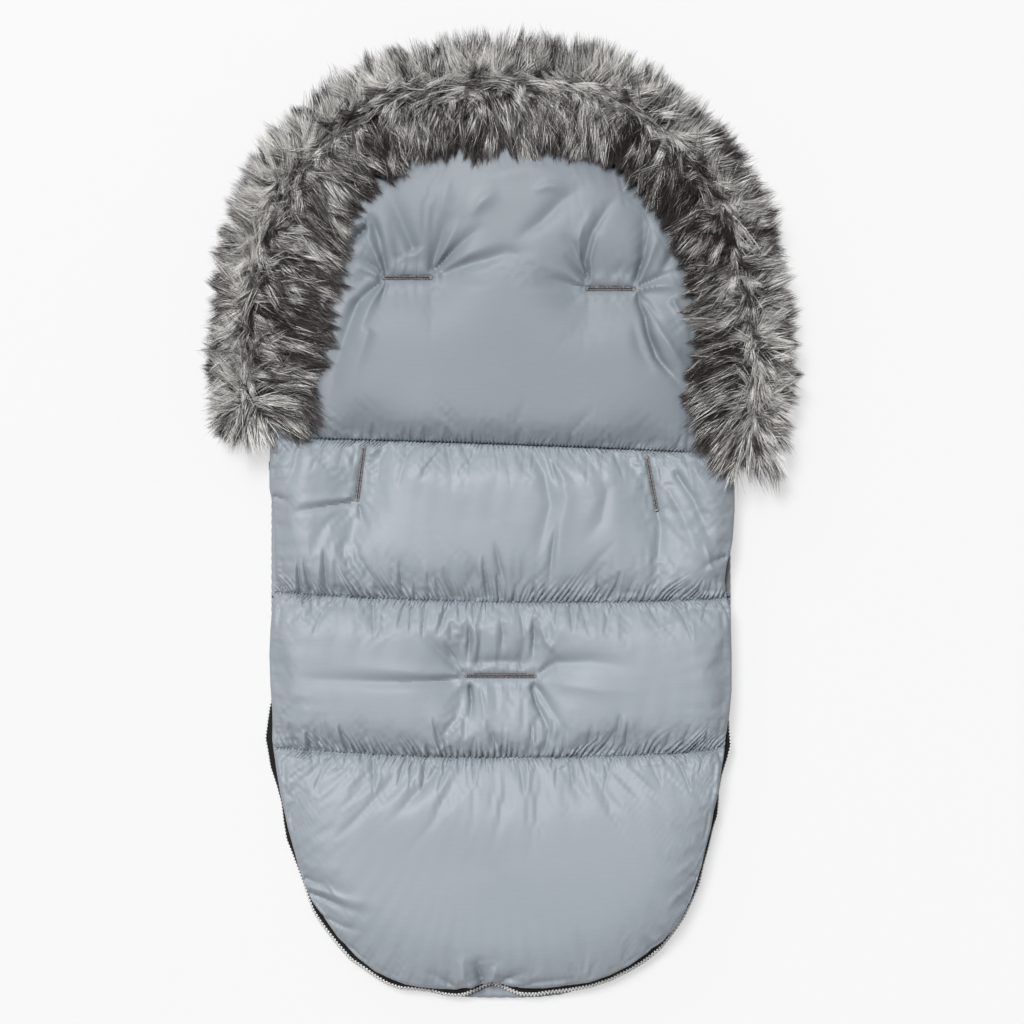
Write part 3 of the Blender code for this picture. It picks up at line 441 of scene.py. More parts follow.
# The last value is the height of each edge, which the camera's nearness spreads or draws in
shell_edge = DrawnEdge(SHELL_LINE, SHELL_HALF_WIDTH, SHELL_FOOT_REACH, 47 * MM)
chain_edge = DrawnEdge(CHAIN_LINE, CHAIN_HALF_WIDTH, CHAIN_FOOT_REACH, 28 * MM)
cover_edge = DrawnEdge(COVER_LINE, SHELL_HALF_WIDTH, COVER_FOOT_REACH, 15 * MM)

# %% [markdown]
# Each section is drawn as a patch between four sides: its seam, the two sides that leave the seam, and
# the far side. A point inside is blended from all four, which spaces the cloth's grid evenly, also under
# the round ends, where the far side takes the middle of the arc.

# %% Patches
ARC_CORNER = math.radians(42)
FINE = np.linspace(0, 1, 400)


def straight_across(seam):
    x = (2 * FINE - 1) * foot_half_width(seam_y(seam, 0), SHELL_HALF_WIDTH, SHELL_FOOT_REACH)
    return np.stack([x, seam_y(seam, x)], axis=-1)


def head_sides():
    near = straight_across(SEAM_HEAD)
    wide = SHELL_HALF_WIDTH
    turns = np.linspace(0, ARC_CORNER, 100)
    left_arc = head_point(turns, wide) * (-1, 1)
    left = np.vstack([near[:1], left_arc])
    right_arc = left_arc * (-1, 1)
    right = np.vstack([near[-1:], right_arc])
    turns = np.linspace(math.pi - ARC_CORNER, ARC_CORNER, 200)
    far = head_point(turns, wide)
    return near, far, left, right


def foot_sides(seam, half_width, reach):
    x = (2 * FINE - 1) * foot_half_width(seam_y(seam, half_width), half_width, reach)
    near = np.stack([x, seam_y(seam, x)], axis=-1)
    depth = FOOT_CENTRE_Y - near[0, 1]
    start = math.asin(max(depth / reach, 0) ** (FOOT_POWER / 2))
    left = foot_point(np.linspace(start, ARC_CORNER, 100), half_width, reach)
    right = left * (-1, 1)
    far = foot_point(np.linspace(ARC_CORNER, math.pi - ARC_CORNER, 200), half_width, reach)
    return near, far, left, right


def band_sides(upper, lower, half_width, reach):
    sides = []
    for hand in (-1, 1):
        top, end = seam_y(upper, hand * half_width), seam_y(lower, hand * half_width)
        y = np.linspace(top, end, 100)
        sides.append(np.stack([hand * foot_half_width(y, half_width, reach), y], axis=-1))
    rows = []
    for seam, row in ((upper, 0), (lower, -1)):
        x = np.linspace(sides[0][row, 0], sides[1][row, 0], 400)
        rows.append(np.stack([x, seam_y(seam, x)], axis=-1))
    return rows[0], rows[1], sides[0], sides[1]


def patch(sides, across, along):
    """A grid of plan points between four sides, at these shares across and along."""
    near, far, left, right = sides
    u, v = np.asarray(across)[None, :, None], np.asarray(along)[:, None, None]
    b, t = evenly(near, across)[None], evenly(far, across)[None]
    l, r = evenly(left, along)[:, None], evenly(right, along)[:, None]
    corners = (1 - u) * (1 - v) * b[:, :1] + u * (1 - v) * b[:, -1:]
    corners = corners + (1 - u) * v * t[:, :1] + u * v * t[:, -1:]
    return (1 - v) * b + v * t + (1 - u) * l + u * r - corners


# %% [markdown]
# ## How a quilted section stands
# Wadding fills each section to a crown, and the seams, the edges and the harness slots draw it down. The
# wide head section stays low under the fur trim and rises inside it. This is the CAD model's height, but
# for a tighter roll on the head's side of the first seam.

# %% Height of the back
BACK_LINING_BASE = 34 * MM
BACK_LINING_TOP = 36 * MM
RIM_HEIGHT = 7.5 * MM
CROWN_HEIGHT = 17.5 * MM
SEAM_ROLL = 36 * MM
HEAD_SEAM_ROLL = 25 * MM
SEAM_SOFT = 1.0 * MM
SIDE_ROLL = 40 * MM
HEAD_ROLL_START = 33 * MM
HEAD_ROLL = 74 * MM
UNDER_FUR_RISE = 4 * MM
SLOT_DIP_REACH = 30 * MM
SLOT_DIP_SHARE = 0.55
SLOTS = {
    "shoulder_slot_left": (-89.6 * MM, 226.9 * MM, 44 * MM, 0.0),
    "shoulder_slot_right": (104.6 * MM, 216.3 * MM, 44 * MM, 0.0),
    "waist_slot_left": (-134.4 * MM, 39.5 * MM, 50 * MM, 82.7),
    "waist_slot_right": (144.5 * MM, 30.0 * MM, 50 * MM, 100.5),
    "crotch_slot": (-0.5 * MM, -154.2 * MM, 65 * MM, 0.0),
}


def roll(distance, radius):
    share = np.clip(distance / radius, 0, 1)
    return np.sqrt(1 - (1 - share) ** 2)


def slot_frame(slot, x, y):
    """Along and across a slot, from its middle."""
    slot_x, slot_y, length, turn = slot
    c, s = math.cos(math.radians(turn)), math.sin(math.radians(turn))
    return (x - slot_x) * c + (y - slot_y) * s, (y - slot_y) * c - (x - slot_x) * s


def slot_distance(slot, x, y):
    along, across = slot_frame(slot, x, y)
    past = np.maximum(np.abs(along) - slot[2] / 2, 0)
    return np.hypot(past, across)


def back_height(x, y):
    full = np.ones_like(x)
    for seam in (SEAM_HEAD, SEAM_WAIST, SEAM_SEAT):
        reach = np.where((y > seam_y(seam, x)) & (seam == SEAM_HEAD), HEAD_SEAM_ROLL, SEAM_ROLL)
        full = full * roll(np.abs(y - seam_y(seam, x)) + SEAM_SOFT, reach)
    inside = edge_distance(x, y, SHELL_HALF_WIDTH, SHELL_FOOT_REACH)
    head = y > seam_y(SEAM_HEAD, x)
    full = full * np.where(head, roll(inside - HEAD_ROLL_START, HEAD_ROLL), roll(inside, SIDE_ROLL))
    rise = np.where(head, UNDER_FUR_RISE * np.clip(inside / FUR_INNER_REACH, 0, 1), 0)
    drawn = np.ones_like(x)
    for slot in SLOTS.values():
        drawn = drawn * (1 - SLOT_DIP_SHARE * np.exp(-(slot_distance(slot, x, y) / SLOT_DIP_REACH) ** 2))
    return BACK_LINING_TOP + RIM_HEIGHT + rise + CROWN_HEIGHT * full * drawn


# %% [markdown]
# ## Gathers
# The cloth is longer than the seam that it is sewn into, so it gathers: short ripples beside the
# stitches, which run together into fewer and wider ones further from the seam. Two sizes of ripple, each
# with its own reach, make that, and a slowly wandering phase keeps them from being regular.

# %% Gathers along a sewn line
GATHERS = (
    (8.3 * MM, 10 * MM, 0.9 * MM),
    (24 * MM, 32 * MM, 0.7 * MM),
)
WIDE_RIPPLE = 15 * MM
TABLE_LENGTH = 4096


def wander(places, step, seed):
    """A smooth random line from -1 to 1 whose bumps are about a step long."""
    table = np.random.default_rng(seed).uniform(-1, 1, TABLE_LENGTH)
    at = places / step + TABLE_LENGTH / 2
    before = np.floor(at).astype(int)
    share = at - before
    share = share * share * (3 - 2 * share)
    return table[before % TABLE_LENGTH] * (1 - share) + table[(before + 1) % TABLE_LENGTH] * share


def gathers(along, away, seed, sizes=GATHERS):
    """Height of the ripples beside a sewn line, at places along it and distances away from it."""
    total = np.zeros_like(along)
    for i, (pitch, reach, height) in enumerate(sizes):
        leaning = along + away * 0.25 * wander(along, 5 * pitch, seed + 10 * i)
        phase = math.pi * leaning / pitch + 1.1 * wander(leaning, 2.5 * pitch, seed + 10 * i + 1)
        wave = 1.5 * np.abs(np.sin(phase)) ** (0.7 if pitch < WIDE_RIPPLE else 2) - 1
        strength = 0.65 + 0.35 * wander(leaning, 1.7 * pitch, seed + 10 * i + 2)
        rise = away / (away + 0.25 * reach)
        total += height * 1.6 * strength * wave * rise * np.exp(-away / reach)
    return total


# %% [markdown]
# Right at the stitches the cloth stands in sharp little folds of uneven length. They slant outward, and
# they are longer and further apart on the side towards the head, where the thread pulls them.

# %% Folds at the stitches
STITCH_FOLDS = {
    "above": (5.6 * MM, 10.5 * MM, 5.4 * MM),
    "below": (3.9 * MM, 4.8 * MM, 3.6 * MM),
    "calm": (4.0 * MM, 4.6 * MM, 2.8 * MM),
}
SEAM_SIDES = {"head": ("calm",), "waist": ("below", "above"), "seat": ("below", "above"), "foot": ("below",)}
STITCH_FOLD_LEAN = 0.85


def stitch_folds(x, away, seed, side):
    pitch, reach, height = STITCH_FOLDS[side]
    lean = STITCH_FOLD_LEAN * np.tanh(x / (70 * MM)) + 0.45 * wander(x, 45 * MM, seed)
    place = x - lean * away
    phase = math.pi * place / pitch + 1.5 * wander(place, 2.2 * pitch, seed + 1)
    ridge = np.abs(np.sin(phase)) ** 0.6
    long = reach * (1 + 0.75 * wander(place, 1.9 * pitch, seed + 2))
    strength = 0.65 + 0.35 * wander(place, 30 * MM, seed + 3)
    rise = np.clip(away / (1.2 * MM), 0, 1)
    return 1.6 * height * strength * rise * (ridge - 0.65) * np.exp(-(away / long) ** 2)


# %% [markdown]
# Some of the gathered cloth is pushed together into puckers: creases of very different lengths that
# leave the seam at a slant. Away from the middle they lean outward.

# %% Puckers
PUCKER_STEP = 8.5 * MM
PUCKER_LENGTHS = (9 * MM, 46 * MM)
HEAD_PUCKER_LENGTHS = (6 * MM, 20 * MM)
PUCKER_WIDTH = 1.5 * MM
PUCKER_DEPTH = 7.5 * MM
PUCKER_LEAN = 0.6


def puckers(x, away, seed, strength, lengths=PUCKER_LENGTHS):
    """Creases that leave a seam, at places along it and distances away from it."""
    rng = np.random.default_rng(seed)
    total = np.zeros_like(x)
    place = -SHELL_HALF_WIDTH
    while place < SHELL_HALF_WIDTH:
        place += PUCKER_STEP * rng.uniform(0.45, 1.7)
        shortest, longest = lengths
        length = shortest + (longest - shortest) * rng.uniform() ** 1.9
        lean = PUCKER_LEAN * (1.3 * place / SHELL_HALF_WIDTH + 0.6 * rng.normal())
        width = PUCKER_WIDTH * rng.uniform(0.7, 1.4) * (1 + length / longest * 0.8)
        depth = PUCKER_DEPTH * rng.uniform(0.5, 1.15) * (0.6 + 0.7 * length / longest)
        near = (np.abs(x - place) < 2 * longest) & (away < length)
        share = away[near] / length
        aside = (x[near] - place - lean * away[near] * (1 - 0.3 * share)) / math.hypot(1, lean)
        broad = width * (1.45 - 0.95 * share)
        crease = np.exp(-np.abs(aside / broad) ** 1.3)
        ridge = np.exp(-((aside - 2.1 * broad * np.sign(lean + 1e-6)) / (1.2 * broad)) ** 2)
        total[near] += (0.35 * ridge - crease) * depth * (1 - share) ** 0.7 * np.clip(0.35 + share * 5, 0, 1)
    return total * strength


# %% [markdown]
# ## Folds
# Beyond the gathers, tension draws single folds out of the ends of the harness slots, and the way the
# footmuff was laid down adds a few long ones. Each was read from enlarged views of the photograph: its
# line in pixels, its width and height in millimetres, and whether it starts free in the cloth (1) or at
# a slot, a seam or an edge (0).

# %% Folds drawn over the photograph
FOLDS = {
    "head": (
        (((387, 277), (384, 258), (376, 238), (369, 214)), 4.0, -3.0, 0),
        (((385, 277), (379, 262), (372, 245), (366, 232)), 2.6, 2.2, 0),
        (((383, 277), (375, 268), (358, 257)), 2.6, -2.2, 0),
        (((381, 279), (366, 272), (350, 268)), 3.0, 1.8, 0),
        (((386, 276), (382, 266), (376, 256)), 1.6, 1.5, 0),
        (((416, 256), (404, 228), (392, 200), (384, 178)), 9.0, -3.0, 0),
        (((400, 262), (396, 240), (390, 222)), 6.0, -1.2, 0),
        (((368, 230), (358, 238), (344, 247)), 5.0, -3.5, 0),
        (((368, 226), (356, 228), (342, 226)), 5.0, 2.2, 0),
        (((384, 283), (372, 292), (358, 306), (346, 330)), 4.5, -2.6, 0),
        (((388, 284), (384, 296), (379, 312)), 3.0, -1.6, 0),
        (((386, 285), (376, 300), (366, 322), (356, 352)), 5.0, 2.0, 0),
        (((431, 276), (437, 255), (444, 232), (452, 214)), 6.0, -2.8, 0),
        (((433, 275), (446, 262), (462, 246), (486, 226)), 4.5, -2.4, 0),
        (((432, 275), (440, 262), (450, 244), (462, 222)), 4.0, 2.2, 0),
        (((434, 279), (448, 270), (470, 258), (505, 246)), 4.5, 1.8, 0),
        (((436, 277), (462, 268), (500, 258), (540, 254)), 7.0, -2.0, 0),
        (((586, 286), (580, 268), (574, 250), (560, 236)), 4.5, -2.4, 0),
        (((586, 284), (579, 262), (577, 244), (584, 226), (598, 204)), 4.0, 2.6, 0),
        (((589, 284), (585, 262), (590, 240), (606, 212), (622, 192)), 4.5, -2.8, 0),
        (((584, 288), (566, 276), (544, 266)), 4.0, 1.6, 0),
        (((585, 290), (560, 284), (530, 280)), 5.0, -1.4, 0),
        (((633, 288), (640, 262), (642, 232), (640, 204)), 4.5, -2.4, 0),
        (((634, 287), (646, 266), (656, 240), (660, 218)), 4.0, 2.2, 0),
        (((636, 289), (656, 280), (676, 272), (690, 270)), 4.5, -2.2, 0),
        (((636, 291), (656, 288), (674, 288), (690, 296)), 3.5, 2.0, 0),
        (((634, 294), (646, 306), (658, 326), (668, 352)), 4.5, -1.4, 0),
        (((635, 295), (643, 317), (648, 337), (660, 363), (677, 385), (700, 410)), 4.2, -3.4, 0),
        (((648, 308), (660, 335), (674, 358), (694, 386)), 5.5, 2.8, 1),
        (((630, 322), (638, 350), (654, 378)), 6.0, -1.0, 1),
        (((670, 300), (682, 322), (690, 350)), 5.0, 2.4, 0),
        (((362, 300), (350, 330), (336, 372), (330, 424)), 8.0, -1.8, 0),
        (((372, 330), (358, 368), (346, 420)), 9.0, 1.4, 0),
        (((470, 186), (530, 172), (590, 190)), 10.0, 0.9, 1),
        (((512, 246), (540, 226), (560, 206), (590, 186)), 8.0, -1.6, 1),
        (((530, 196), (548, 190), (568, 192)), 5.0, 1.4, 1),
        (((470, 222), (482, 206), (500, 192)), 7.0, 1.6, 1),
        (((452, 176), (446, 200), (440, 222)), 8.0, 0.9, 1),
        (((387, 257), (379, 236), (371, 213)), 3.2, -2.2, 1),
        (((366, 232), (358, 238), (348, 245)), 3.5, -2.4, 1),
        (((432.6, 272), (446, 260), (462, 244)), 2.6, -2.4, 0),
        (((635, 284), (643, 259), (647, 236), (649, 216)), 2.8, -2.8, 0),
        (((591, 284), (589, 262), (595, 236), (612, 212)), 2.6, 2.4, 0),
        (((641, 318), (646, 336), (655, 359), (672, 380)), 3.0, -3.0, 1),
        (((633, 294), (641, 306), (652, 322)), 2.6, 2.2, 0),
        (((657, 276), (668, 262), (676, 246)), 5.0, -2.2, 1),
        (((587, 283), (574, 270), (562, 256)), 2.6, -2.6, 0),
        (((588, 278), (582, 262), (580, 246)), 2.4, -2.4, 0),
    ),
    "waist": (
        (((560, 456), (584, 476), (596, 500), (580, 528)), 8.0, 1.0, 1),
        (((590, 462), (606, 490), (600, 520), (578, 548)), 7.0, -1.1, 1),
        (((556, 520), (552, 548), (548, 594)), 3.5, -2.4, 1),
        (((494, 540), (500, 566), (508, 598)), 3.2, -2.2, 1),
        (((545, 450), (552, 470), (560, 492)), 3.4, -1.8, 1),
        (((730, 556), (712, 562), (700, 572)), 4.0, -2.6, 0),
        (((701, 540), (712, 566), (728, 580)), 3.0, 2.6, 1),
        (((538, 446), (560, 470), (566, 500), (556, 545), (546, 592)), 9.0, 2.4, 0),
        (((528, 446), (544, 474), (550, 505), (540, 545), (528, 590)), 8.0, -2.6, 0),
        (((446, 444), (452, 468), (454, 492)), 5.0, -2.0, 0),
        (((458, 444), (462, 465)), 5.0, 1.6, 0),
        (((425, 446), (418, 470), (420, 500)), 8.0, 1.2, 0),
        (((357, 502), (330, 506), (300, 511), (276, 519)), 3.6, -2.4, 0),
        (((356, 497), (330, 499), (302, 503), (276, 510)), 4.5, 1.8, 0),
        (((360, 504), (362, 516), (372, 530)), 3.0, -1.6, 0),
        (((365, 470), (372, 466), (382, 462)), 3.0, -1.2, 0),
        (((365, 455), (378, 450), (396, 447)), 4.0, 1.2, 0),
        (((300, 446), (296, 470), (284, 492), (272, 506)), 6.0, -1.6, 0),
        (((272, 496), (284, 500), (296, 500)), 3.0, -2.0, 0),
        (((656, 508), (660, 530), (656, 560), (648, 590)), 5.0, -1.6, 0),
        (((664, 486), (680, 515), (694, 548), (712, 570), (730, 580)), 6.0, 2.6, 0),
        (((672, 470), (692, 500), (706, 535), (722, 558), (732, 566)), 5.0, -2.8, 0),
        (((688, 462), (708, 495), (724, 528), (731, 545)), 6.0, 1.8, 0),
        (((646, 460), (636, 480), (632, 505)), 5.0, 1.4, 0),
        (((433, 598), (428, 578), (420, 556)), 5.0, 1.8, 0),
        (((511, 600), (506, 578), (500, 556)), 5.0, 1.8, 0),
        (((479, 600), (476, 580), (470, 560)), 5.0, -1.6, 0),
        (((349, 596), (346, 580), (340, 560)), 6.0, 1.2, 0),
        (((603, 600), (600, 580), (604, 560)), 6.0, -1.2, 0),
    ),
    "seat": (
        (((456, 664), (500, 660), (546, 664)), 6.0, -2.0, 1),
        (((469, 617), (470, 640), (468, 666)), 2.6, -3.0, 1),
        (((474, 618), (477, 640), (474, 664)), 3.4, 2.0, 1),
        (((532, 612), (534, 636), (531, 664)), 3.0, -2.6, 1),
        (((540, 622), (545, 640), (560, 656)), 4.0, 2.2, 1),
        (((500, 612), (503, 634), (500, 660)), 4.0, -1.6, 1),
        (((470, 684), (472, 700), (470, 722)), 2.6, -2.8, 0),
        (((480, 686), (484, 706), (486, 732)), 3.6, 1.8, 0),
        (((531, 684), (536, 702), (548, 726), (553, 746)), 2.8, -2.8, 0),
        (((444, 640), (452, 654), (464, 668)), 3.6, -2.4, 1),
        (((660, 616), (690, 608), (722, 604)), 6.0, -1.8, 1),
        (((640, 634), (672, 622), (700, 618)), 5.0, 1.4, 1),
        (((466, 674), (452, 662), (436, 646), (414, 620)), 5.0, -2.4, 0),
        (((466, 672), (456, 656), (448, 640), (440, 612)), 5.0, 1.8, 0),
        (((464, 677), (430, 680), (380, 680), (320, 677), (272, 672)), 6.0, -2.2, 0),
        (((464, 673), (430, 672), (390, 668), (340, 664)), 7.0, 1.8, 0),
        (((478, 668), (480, 650), (482, 630), (480, 606)), 5.0, -1.6, 0),
        (((494, 668), (496, 645), (492, 606)), 6.0, 1.6, 0),
        (((520, 668), (524, 645), (530, 608)), 6.0, -1.6, 0),
        (((536, 674), (556, 662), (590, 660), (642, 666)), 8.0, -2.6, 0),
        (((536, 672), (548, 650), (560, 628), (574, 606)), 6.0, 1.8, 0),
        (((536, 677), (560, 682), (600, 688), (650, 690)), 7.0, 1.4, 0),
        (((470, 681), (472, 700), (468, 738)), 5.0, -1.8, 0),
        (((486, 682), (488, 702), (490, 735)), 6.0, 1.4, 0),
        (((532, 681), (546, 700), (560, 722), (572, 744)), 5.0, -2.0, 0),
        (((441, 755), (430, 738), (418, 724)), 4.0, 2.0, 0),
        (((665, 750), (660, 735), (650, 720)), 5.0, 1.2, 0),
        (((347, 751), (340, 732), (330, 712)), 6.0, 1.2, 0),
    ),
    "foot": (
        (((440, 764), (424, 785), (408, 802), (392, 814)), 6.0, -1.8, 0),
        (((452, 764), (440, 788), (424, 812)), 7.0, 1.4, 0),
        (((560, 764), (575, 790), (585, 815)), 9.0, -1.2, 0),
        (((307, 890), (328, 898), (346, 903), (378, 909)), 4.2, -2.0, 0),
        (((305, 884), (330, 890), (356, 897), (384, 900)), 5.0, 2.2, 0),
        (((320, 914), (336, 919), (352, 923), (376, 926)), 3.6, -1.8, 0),
        (((303, 876), (316, 880), (334, 882)), 3.6, -1.6, 0),
        (((338, 939), (350, 942), (366, 945)), 3.2, -1.5, 0),
        (((483, 990), (480, 976), (477, 962), (482, 950)), 5.0, -6.0, 0),
        (((474, 990), (464, 974), (462, 958), (470, 946)), 5.0, 4.4, 0),
        (((492, 988), (494, 974), (500, 958)), 5.0, 3.2, 0),
        (((470, 992), (452, 980), (436, 968), (420, 962)), 4.4, -2.6, 0),
        (((460, 993), (440, 982), (418, 974)), 4.0, -1.8, 0),
        (((500, 988), (512, 976), (530, 966)), 4.4, -2.2, 0),
        (((514, 990), (530, 982), (552, 976)), 4.0, -1.6, 0),
        (((560, 990), (570, 980), (586, 972)), 3.6, -1.2, 0),
        (((655, 952), (648, 942), (640, 928)), 4.0, -2.0, 0),
        (((668, 940), (662, 930), (657, 916)), 3.6, -1.8, 0),
        (((690, 906), (680, 900), (672, 890)), 3.6, -1.6, 0),
        (((700, 878), (690, 874), (680, 866)), 3.6, -1.4, 0),
        (((300, 860), (330, 866), (360, 866)), 7.0, 0.9, 0),
        (((704, 862), (680, 872), (650, 876)), 8.0, 0.9, 0),
    ),
}


def line_distance(x, y, points):
    """Distance from a drawn line, and the share of its length that the nearest point of it lies at."""
    points = np.array([from_pixels(*p) for p in points])
    legs = np.linalg.norm(np.diff(points, axis=0), axis=1)
    best = np.full(x.shape, 1e9)
    share = np.zeros_like(x)
    run = 0.0
    for (x0, y0), (x1, y1), leg in zip(points, points[1:], legs):
        t = np.clip(((x - x0) * (x1 - x0) + (y - y0) * (y1 - y0)) / leg ** 2, 0, 1)
        d = np.hypot(x - x0 - t * (x1 - x0), y - y0 - t * (y1 - y0))
        nearer = d < best
        best = np.where(nearer, d, best)
        share = np.where(nearer, (run + t * leg) / legs.sum(), share)
        run += leg
    return best, share


FOLD_STRENGTH = {"head": 2.4, "waist": 2.0, "seat": 2.4, "foot": 2.2}
RIDGE_SHARE = 0.6


def fold_height(name, x, y):
    """All the folds of a section: each is narrow where it starts and fades where it ends."""
    total = np.zeros_like(x)
    for points, width, height, free in FOLDS[name]:
        height = height * FOLD_STRENGTH[name] * (RIDGE_SHARE if height > 0 else 1)
        away, share = line_distance(x, y, points)
        broad = width * MM * (0.62 + 0.68 * share)
        if free:
            fade = np.sin(math.pi * share) ** 1.5
        else:
            fade = np.clip(share / 0.06, 0, 1) * (1 - share ** 2) ** 1.5
        total += height * MM * fade * np.exp(-np.abs(away / broad) ** 1.6)
    return total


# %% [markdown]
# ## Swelling the cloth
# A quilted section gets its shape from air and wadding pressing the cloth out between its seams, so that
# is how it is made here: a sheet of cloth that is cut a little larger than its section is sewn down round
# it and round the slots, and Blender's cloth solver blows it up for twenty frames. How far a point may
# move is softly capped, so the section stays near its CAD solid. A grid that is fine enough for the
# gathers then takes the movement over.

# %% Cloth simulation
SIM_FRAMES = 20
SIM_PRESSURE = 1.5
SIM_GROWTH = 0.020
SIM_CAP = 5 * MM
SIM_SIDEWAYS = 0.35
SIM_START_SHARE = 0.93
SIM_SHARES = {"head": 0.5, "waist": 0.9, "seat": 1.0, "foot": 1.0}
SIM_CLOTH = {
    "quality": 5, "mass": 0.12, "tension_stiffness": 12, "compression_stiffness": 12, "shear_stiffness": 3,
    "bending_stiffness": 0.06, "air_damping": 3, "use_pressure": True, "uniform_pressure_force": SIM_PRESSURE,
    "shrink_min": -SIM_GROWTH, "vertex_group_mass": "sewn",
}


def remove(thing):
    mesh = thing.data
    bpy.data.objects.remove(thing)
    bpy.data.meshes.remove(mesh)


def grid_faces(rows, columns):
    i = np.arange((rows - 1) * columns).reshape(rows - 1, columns)[:, :-1].ravel()
    return np.stack([i, i + 1, i + 1 + columns, i + columns], axis=-1)


def object_of(name, points, faces):
    mesh = bpy.data.meshes.new(name)
    mesh.from_pydata(np.asarray(points).reshape(-1, 3).tolist(), [], [list(map(int, f)) for f in faces])
    mesh.update()
    made = bpy.data.objects.new(name, mesh)
    scene.collection.objects.link(made)
    return made


def only(thing):
    """Selects one object and nothing else."""
    bpy.ops.object.select_all(action="DESELECT")
    thing.select_set(True)
    bpy.context.view_layer.objects.active = thing


def swell(name, grid, sewn, out):
    """How a grid of points moves when it is blown up to the side that out gives. Sewn points stay put."""
    rows, columns, _ = grid.shape
    faces = grid_faces(rows, columns)
    first = grid.reshape(-1, 3)
    a, b, d = first[faces[0][0]], first[faces[0][1]], first[faces[0][3]]
    if np.cross(b - a, d - a)[2] * out < 0:
        faces = faces[:, ::-1]
    cloth = object_of(name + "_cloth", grid, faces)
    group = cloth.vertex_groups.new(name="sewn")
    group.add([int(i) for i in np.flatnonzero(sewn.ravel())], 1.0, "REPLACE")
    only(cloth)
    bpy.ops.object.modifier_add(type="CLOTH")
    cloth_settings = cloth.modifiers[-1].settings
    for setting, value in SIM_CLOTH.items():
        setattr(cloth_settings, setting, value)
    cloth_settings.effector_weights.gravity = 0
    for number in range(1, SIM_FRAMES + 1):
        scene.frame_set(number)
    settled = cloth.evaluated_get(bpy.context.evaluated_depsgraph_get()).data
    after = np.zeros(rows * columns * 3, np.float32)
    settled.vertices.foreach_get("co", after)
    scene.frame_set(1)
    remove(cloth)
    move = after.reshape(grid.shape).astype(float) - grid
    length = np.linalg.norm(move, axis=-1, keepdims=True)
    capped = move * SIM_CAP * np.tanh(length / SIM_CAP) / np.maximum(length, 1e-9)
    capped[..., :2] *= SIM_SIDEWAYS
    print(f"{name}: cloth moved {length.mean() / MM:.1f} mm on average, {length.max() / MM:.1f} at most")
    return capped


def along_first(values, places):
    """Smooth values between the rows of an array, at these places counted in rows."""
    last = len(values) - 1
    i = np.clip(np.floor(places).astype(int), 0, last - 1)
    t = (places - i).reshape(-1, *[1] * (values.ndim - 1))
    p0, p1 = values[np.maximum(i - 1, 0)], values[i]
    p2, p3 = values[i + 1], values[np.minimum(i + 2, last)]
    return p1 + 0.5 * t * (p2 - p0 + t * (2 * p0 - 5 * p1 + 4 * p2 - p3 + t * (3 * (p1 - p2) + p3 - p0)))


def refine(values, across, along):
    """A coarse grid's values at the shares of a finer grid."""
    rows = along_first(values, along * (values.shape[0] - 1))
    return np.swapaxes(along_first(np.swapaxes(rows, 0, 1), across * (values.shape[1] - 1)), 0, 1)


# %% [markdown]
# ## The four sections of the back
# Each section becomes one closed body: the swollen and gathered cloth on top, a hem down to the lining,
# and a flat underside. The grid is finest beside the seams, where the gathers are. The slots are cut
# through with a long rounded cutter.

# %% Build the sections
COARSE_STEP = 4.2 * MM
FINE_STEPS = {"head": 0.90 * MM, "waist": 0.62 * MM, "seat": 0.62 * MM, "foot": 0.72 * MM}
FINE_ROWS = {"head": 190, "waist": 108, "seat": 108, "foot": 132}
CROWDING = {"head": 0.50, "waist": 0.55, "seat": 0.55, "foot": 0.58}
PUCKER_SHARES = {"head": (0.45,), "waist": (0.25, 0.80), "seat": (0.50, 1.0), "foot": (0.5,)}
SEAM_WAVE = 0.8 * MM
SEAM_WAVE_PITCH = 3.5 * MM
NEEDLE_DEPTH = 0.7 * MM
NEEDLE_REACH = 1.3 * MM
SLOT_PINCH = 2.8 * MM
SLOT_PINCH_REACH = 2.6 * MM
SLOT_SHOULDER = 1.3 * MM
SLOT_SHOULDER_AT = 8 * MM
SLOT_SHOULDER_WIDE = 5 * MM
SLOT_SEWN_REACH = 4.5 * MM
SLOT_CUT_HALF = 2.0 * MM
CUTTER_TOP = 90 * MM
SLOT_GATHERS = ((4.2 * MM, 5 * MM, 1.0 * MM), (11 * MM, 14 * MM, 0.7 * MM))
EDGE_GATHERS = ((6.2 * MM, 8 * MM, 0.9 * MM), (17 * MM, 20 * MM, 0.9 * MM))
SLOT_GATHER_SIDES = {
    "shoulder_slot_left": (1.0, 0.25), "shoulder_slot_right": (0.9, 0.3),
    "waist_slot_left": (0.15, 0.9), "waist_slot_right": (1.1, 1.1), "crotch_slot": (1.2, 0.6),
}
SECTION_SEAMS = {
    "head": (SEAM_HEAD,), "waist": (SEAM_HEAD, SEAM_WAIST),
    "seat": (SEAM_WAIST, SEAM_SEAT), "foot": (SEAM_SEAT,),
}
SLOT_SECTION = {
    "shoulder_slot_left": "head", "shoulder_slot_right": "head",
    "waist_slot_left": "waist", "waist_slot_right": "waist", "crotch_slot": "seat",
}


def graded(count, crowding):
    """Shares from 0 to 1, closer together at both ends."""
    t = np.linspace(0, 1, count)
    return t - crowding * np.sin(2 * math.pi * t) / (2 * math.pi)


def graded_from_seam(count, crowding):
    """Shares from 0 to 1, closest together at 0."""
    t = np.linspace(0, 1, count)
    return t - crowding * np.sin(math.pi * t) / math.pi


def edge_run(x, y):
    """A length along the outline, for the ripples beside it."""
    turn = np.arctan2(np.maximum(FOOT_CENTRE_Y - y, 0), np.abs(x))
    return np.where(y > FOOT_CENTRE_Y, y, FOOT_CENTRE_Y - SHELL_HALF_WIDTH * 1.1 * turn)


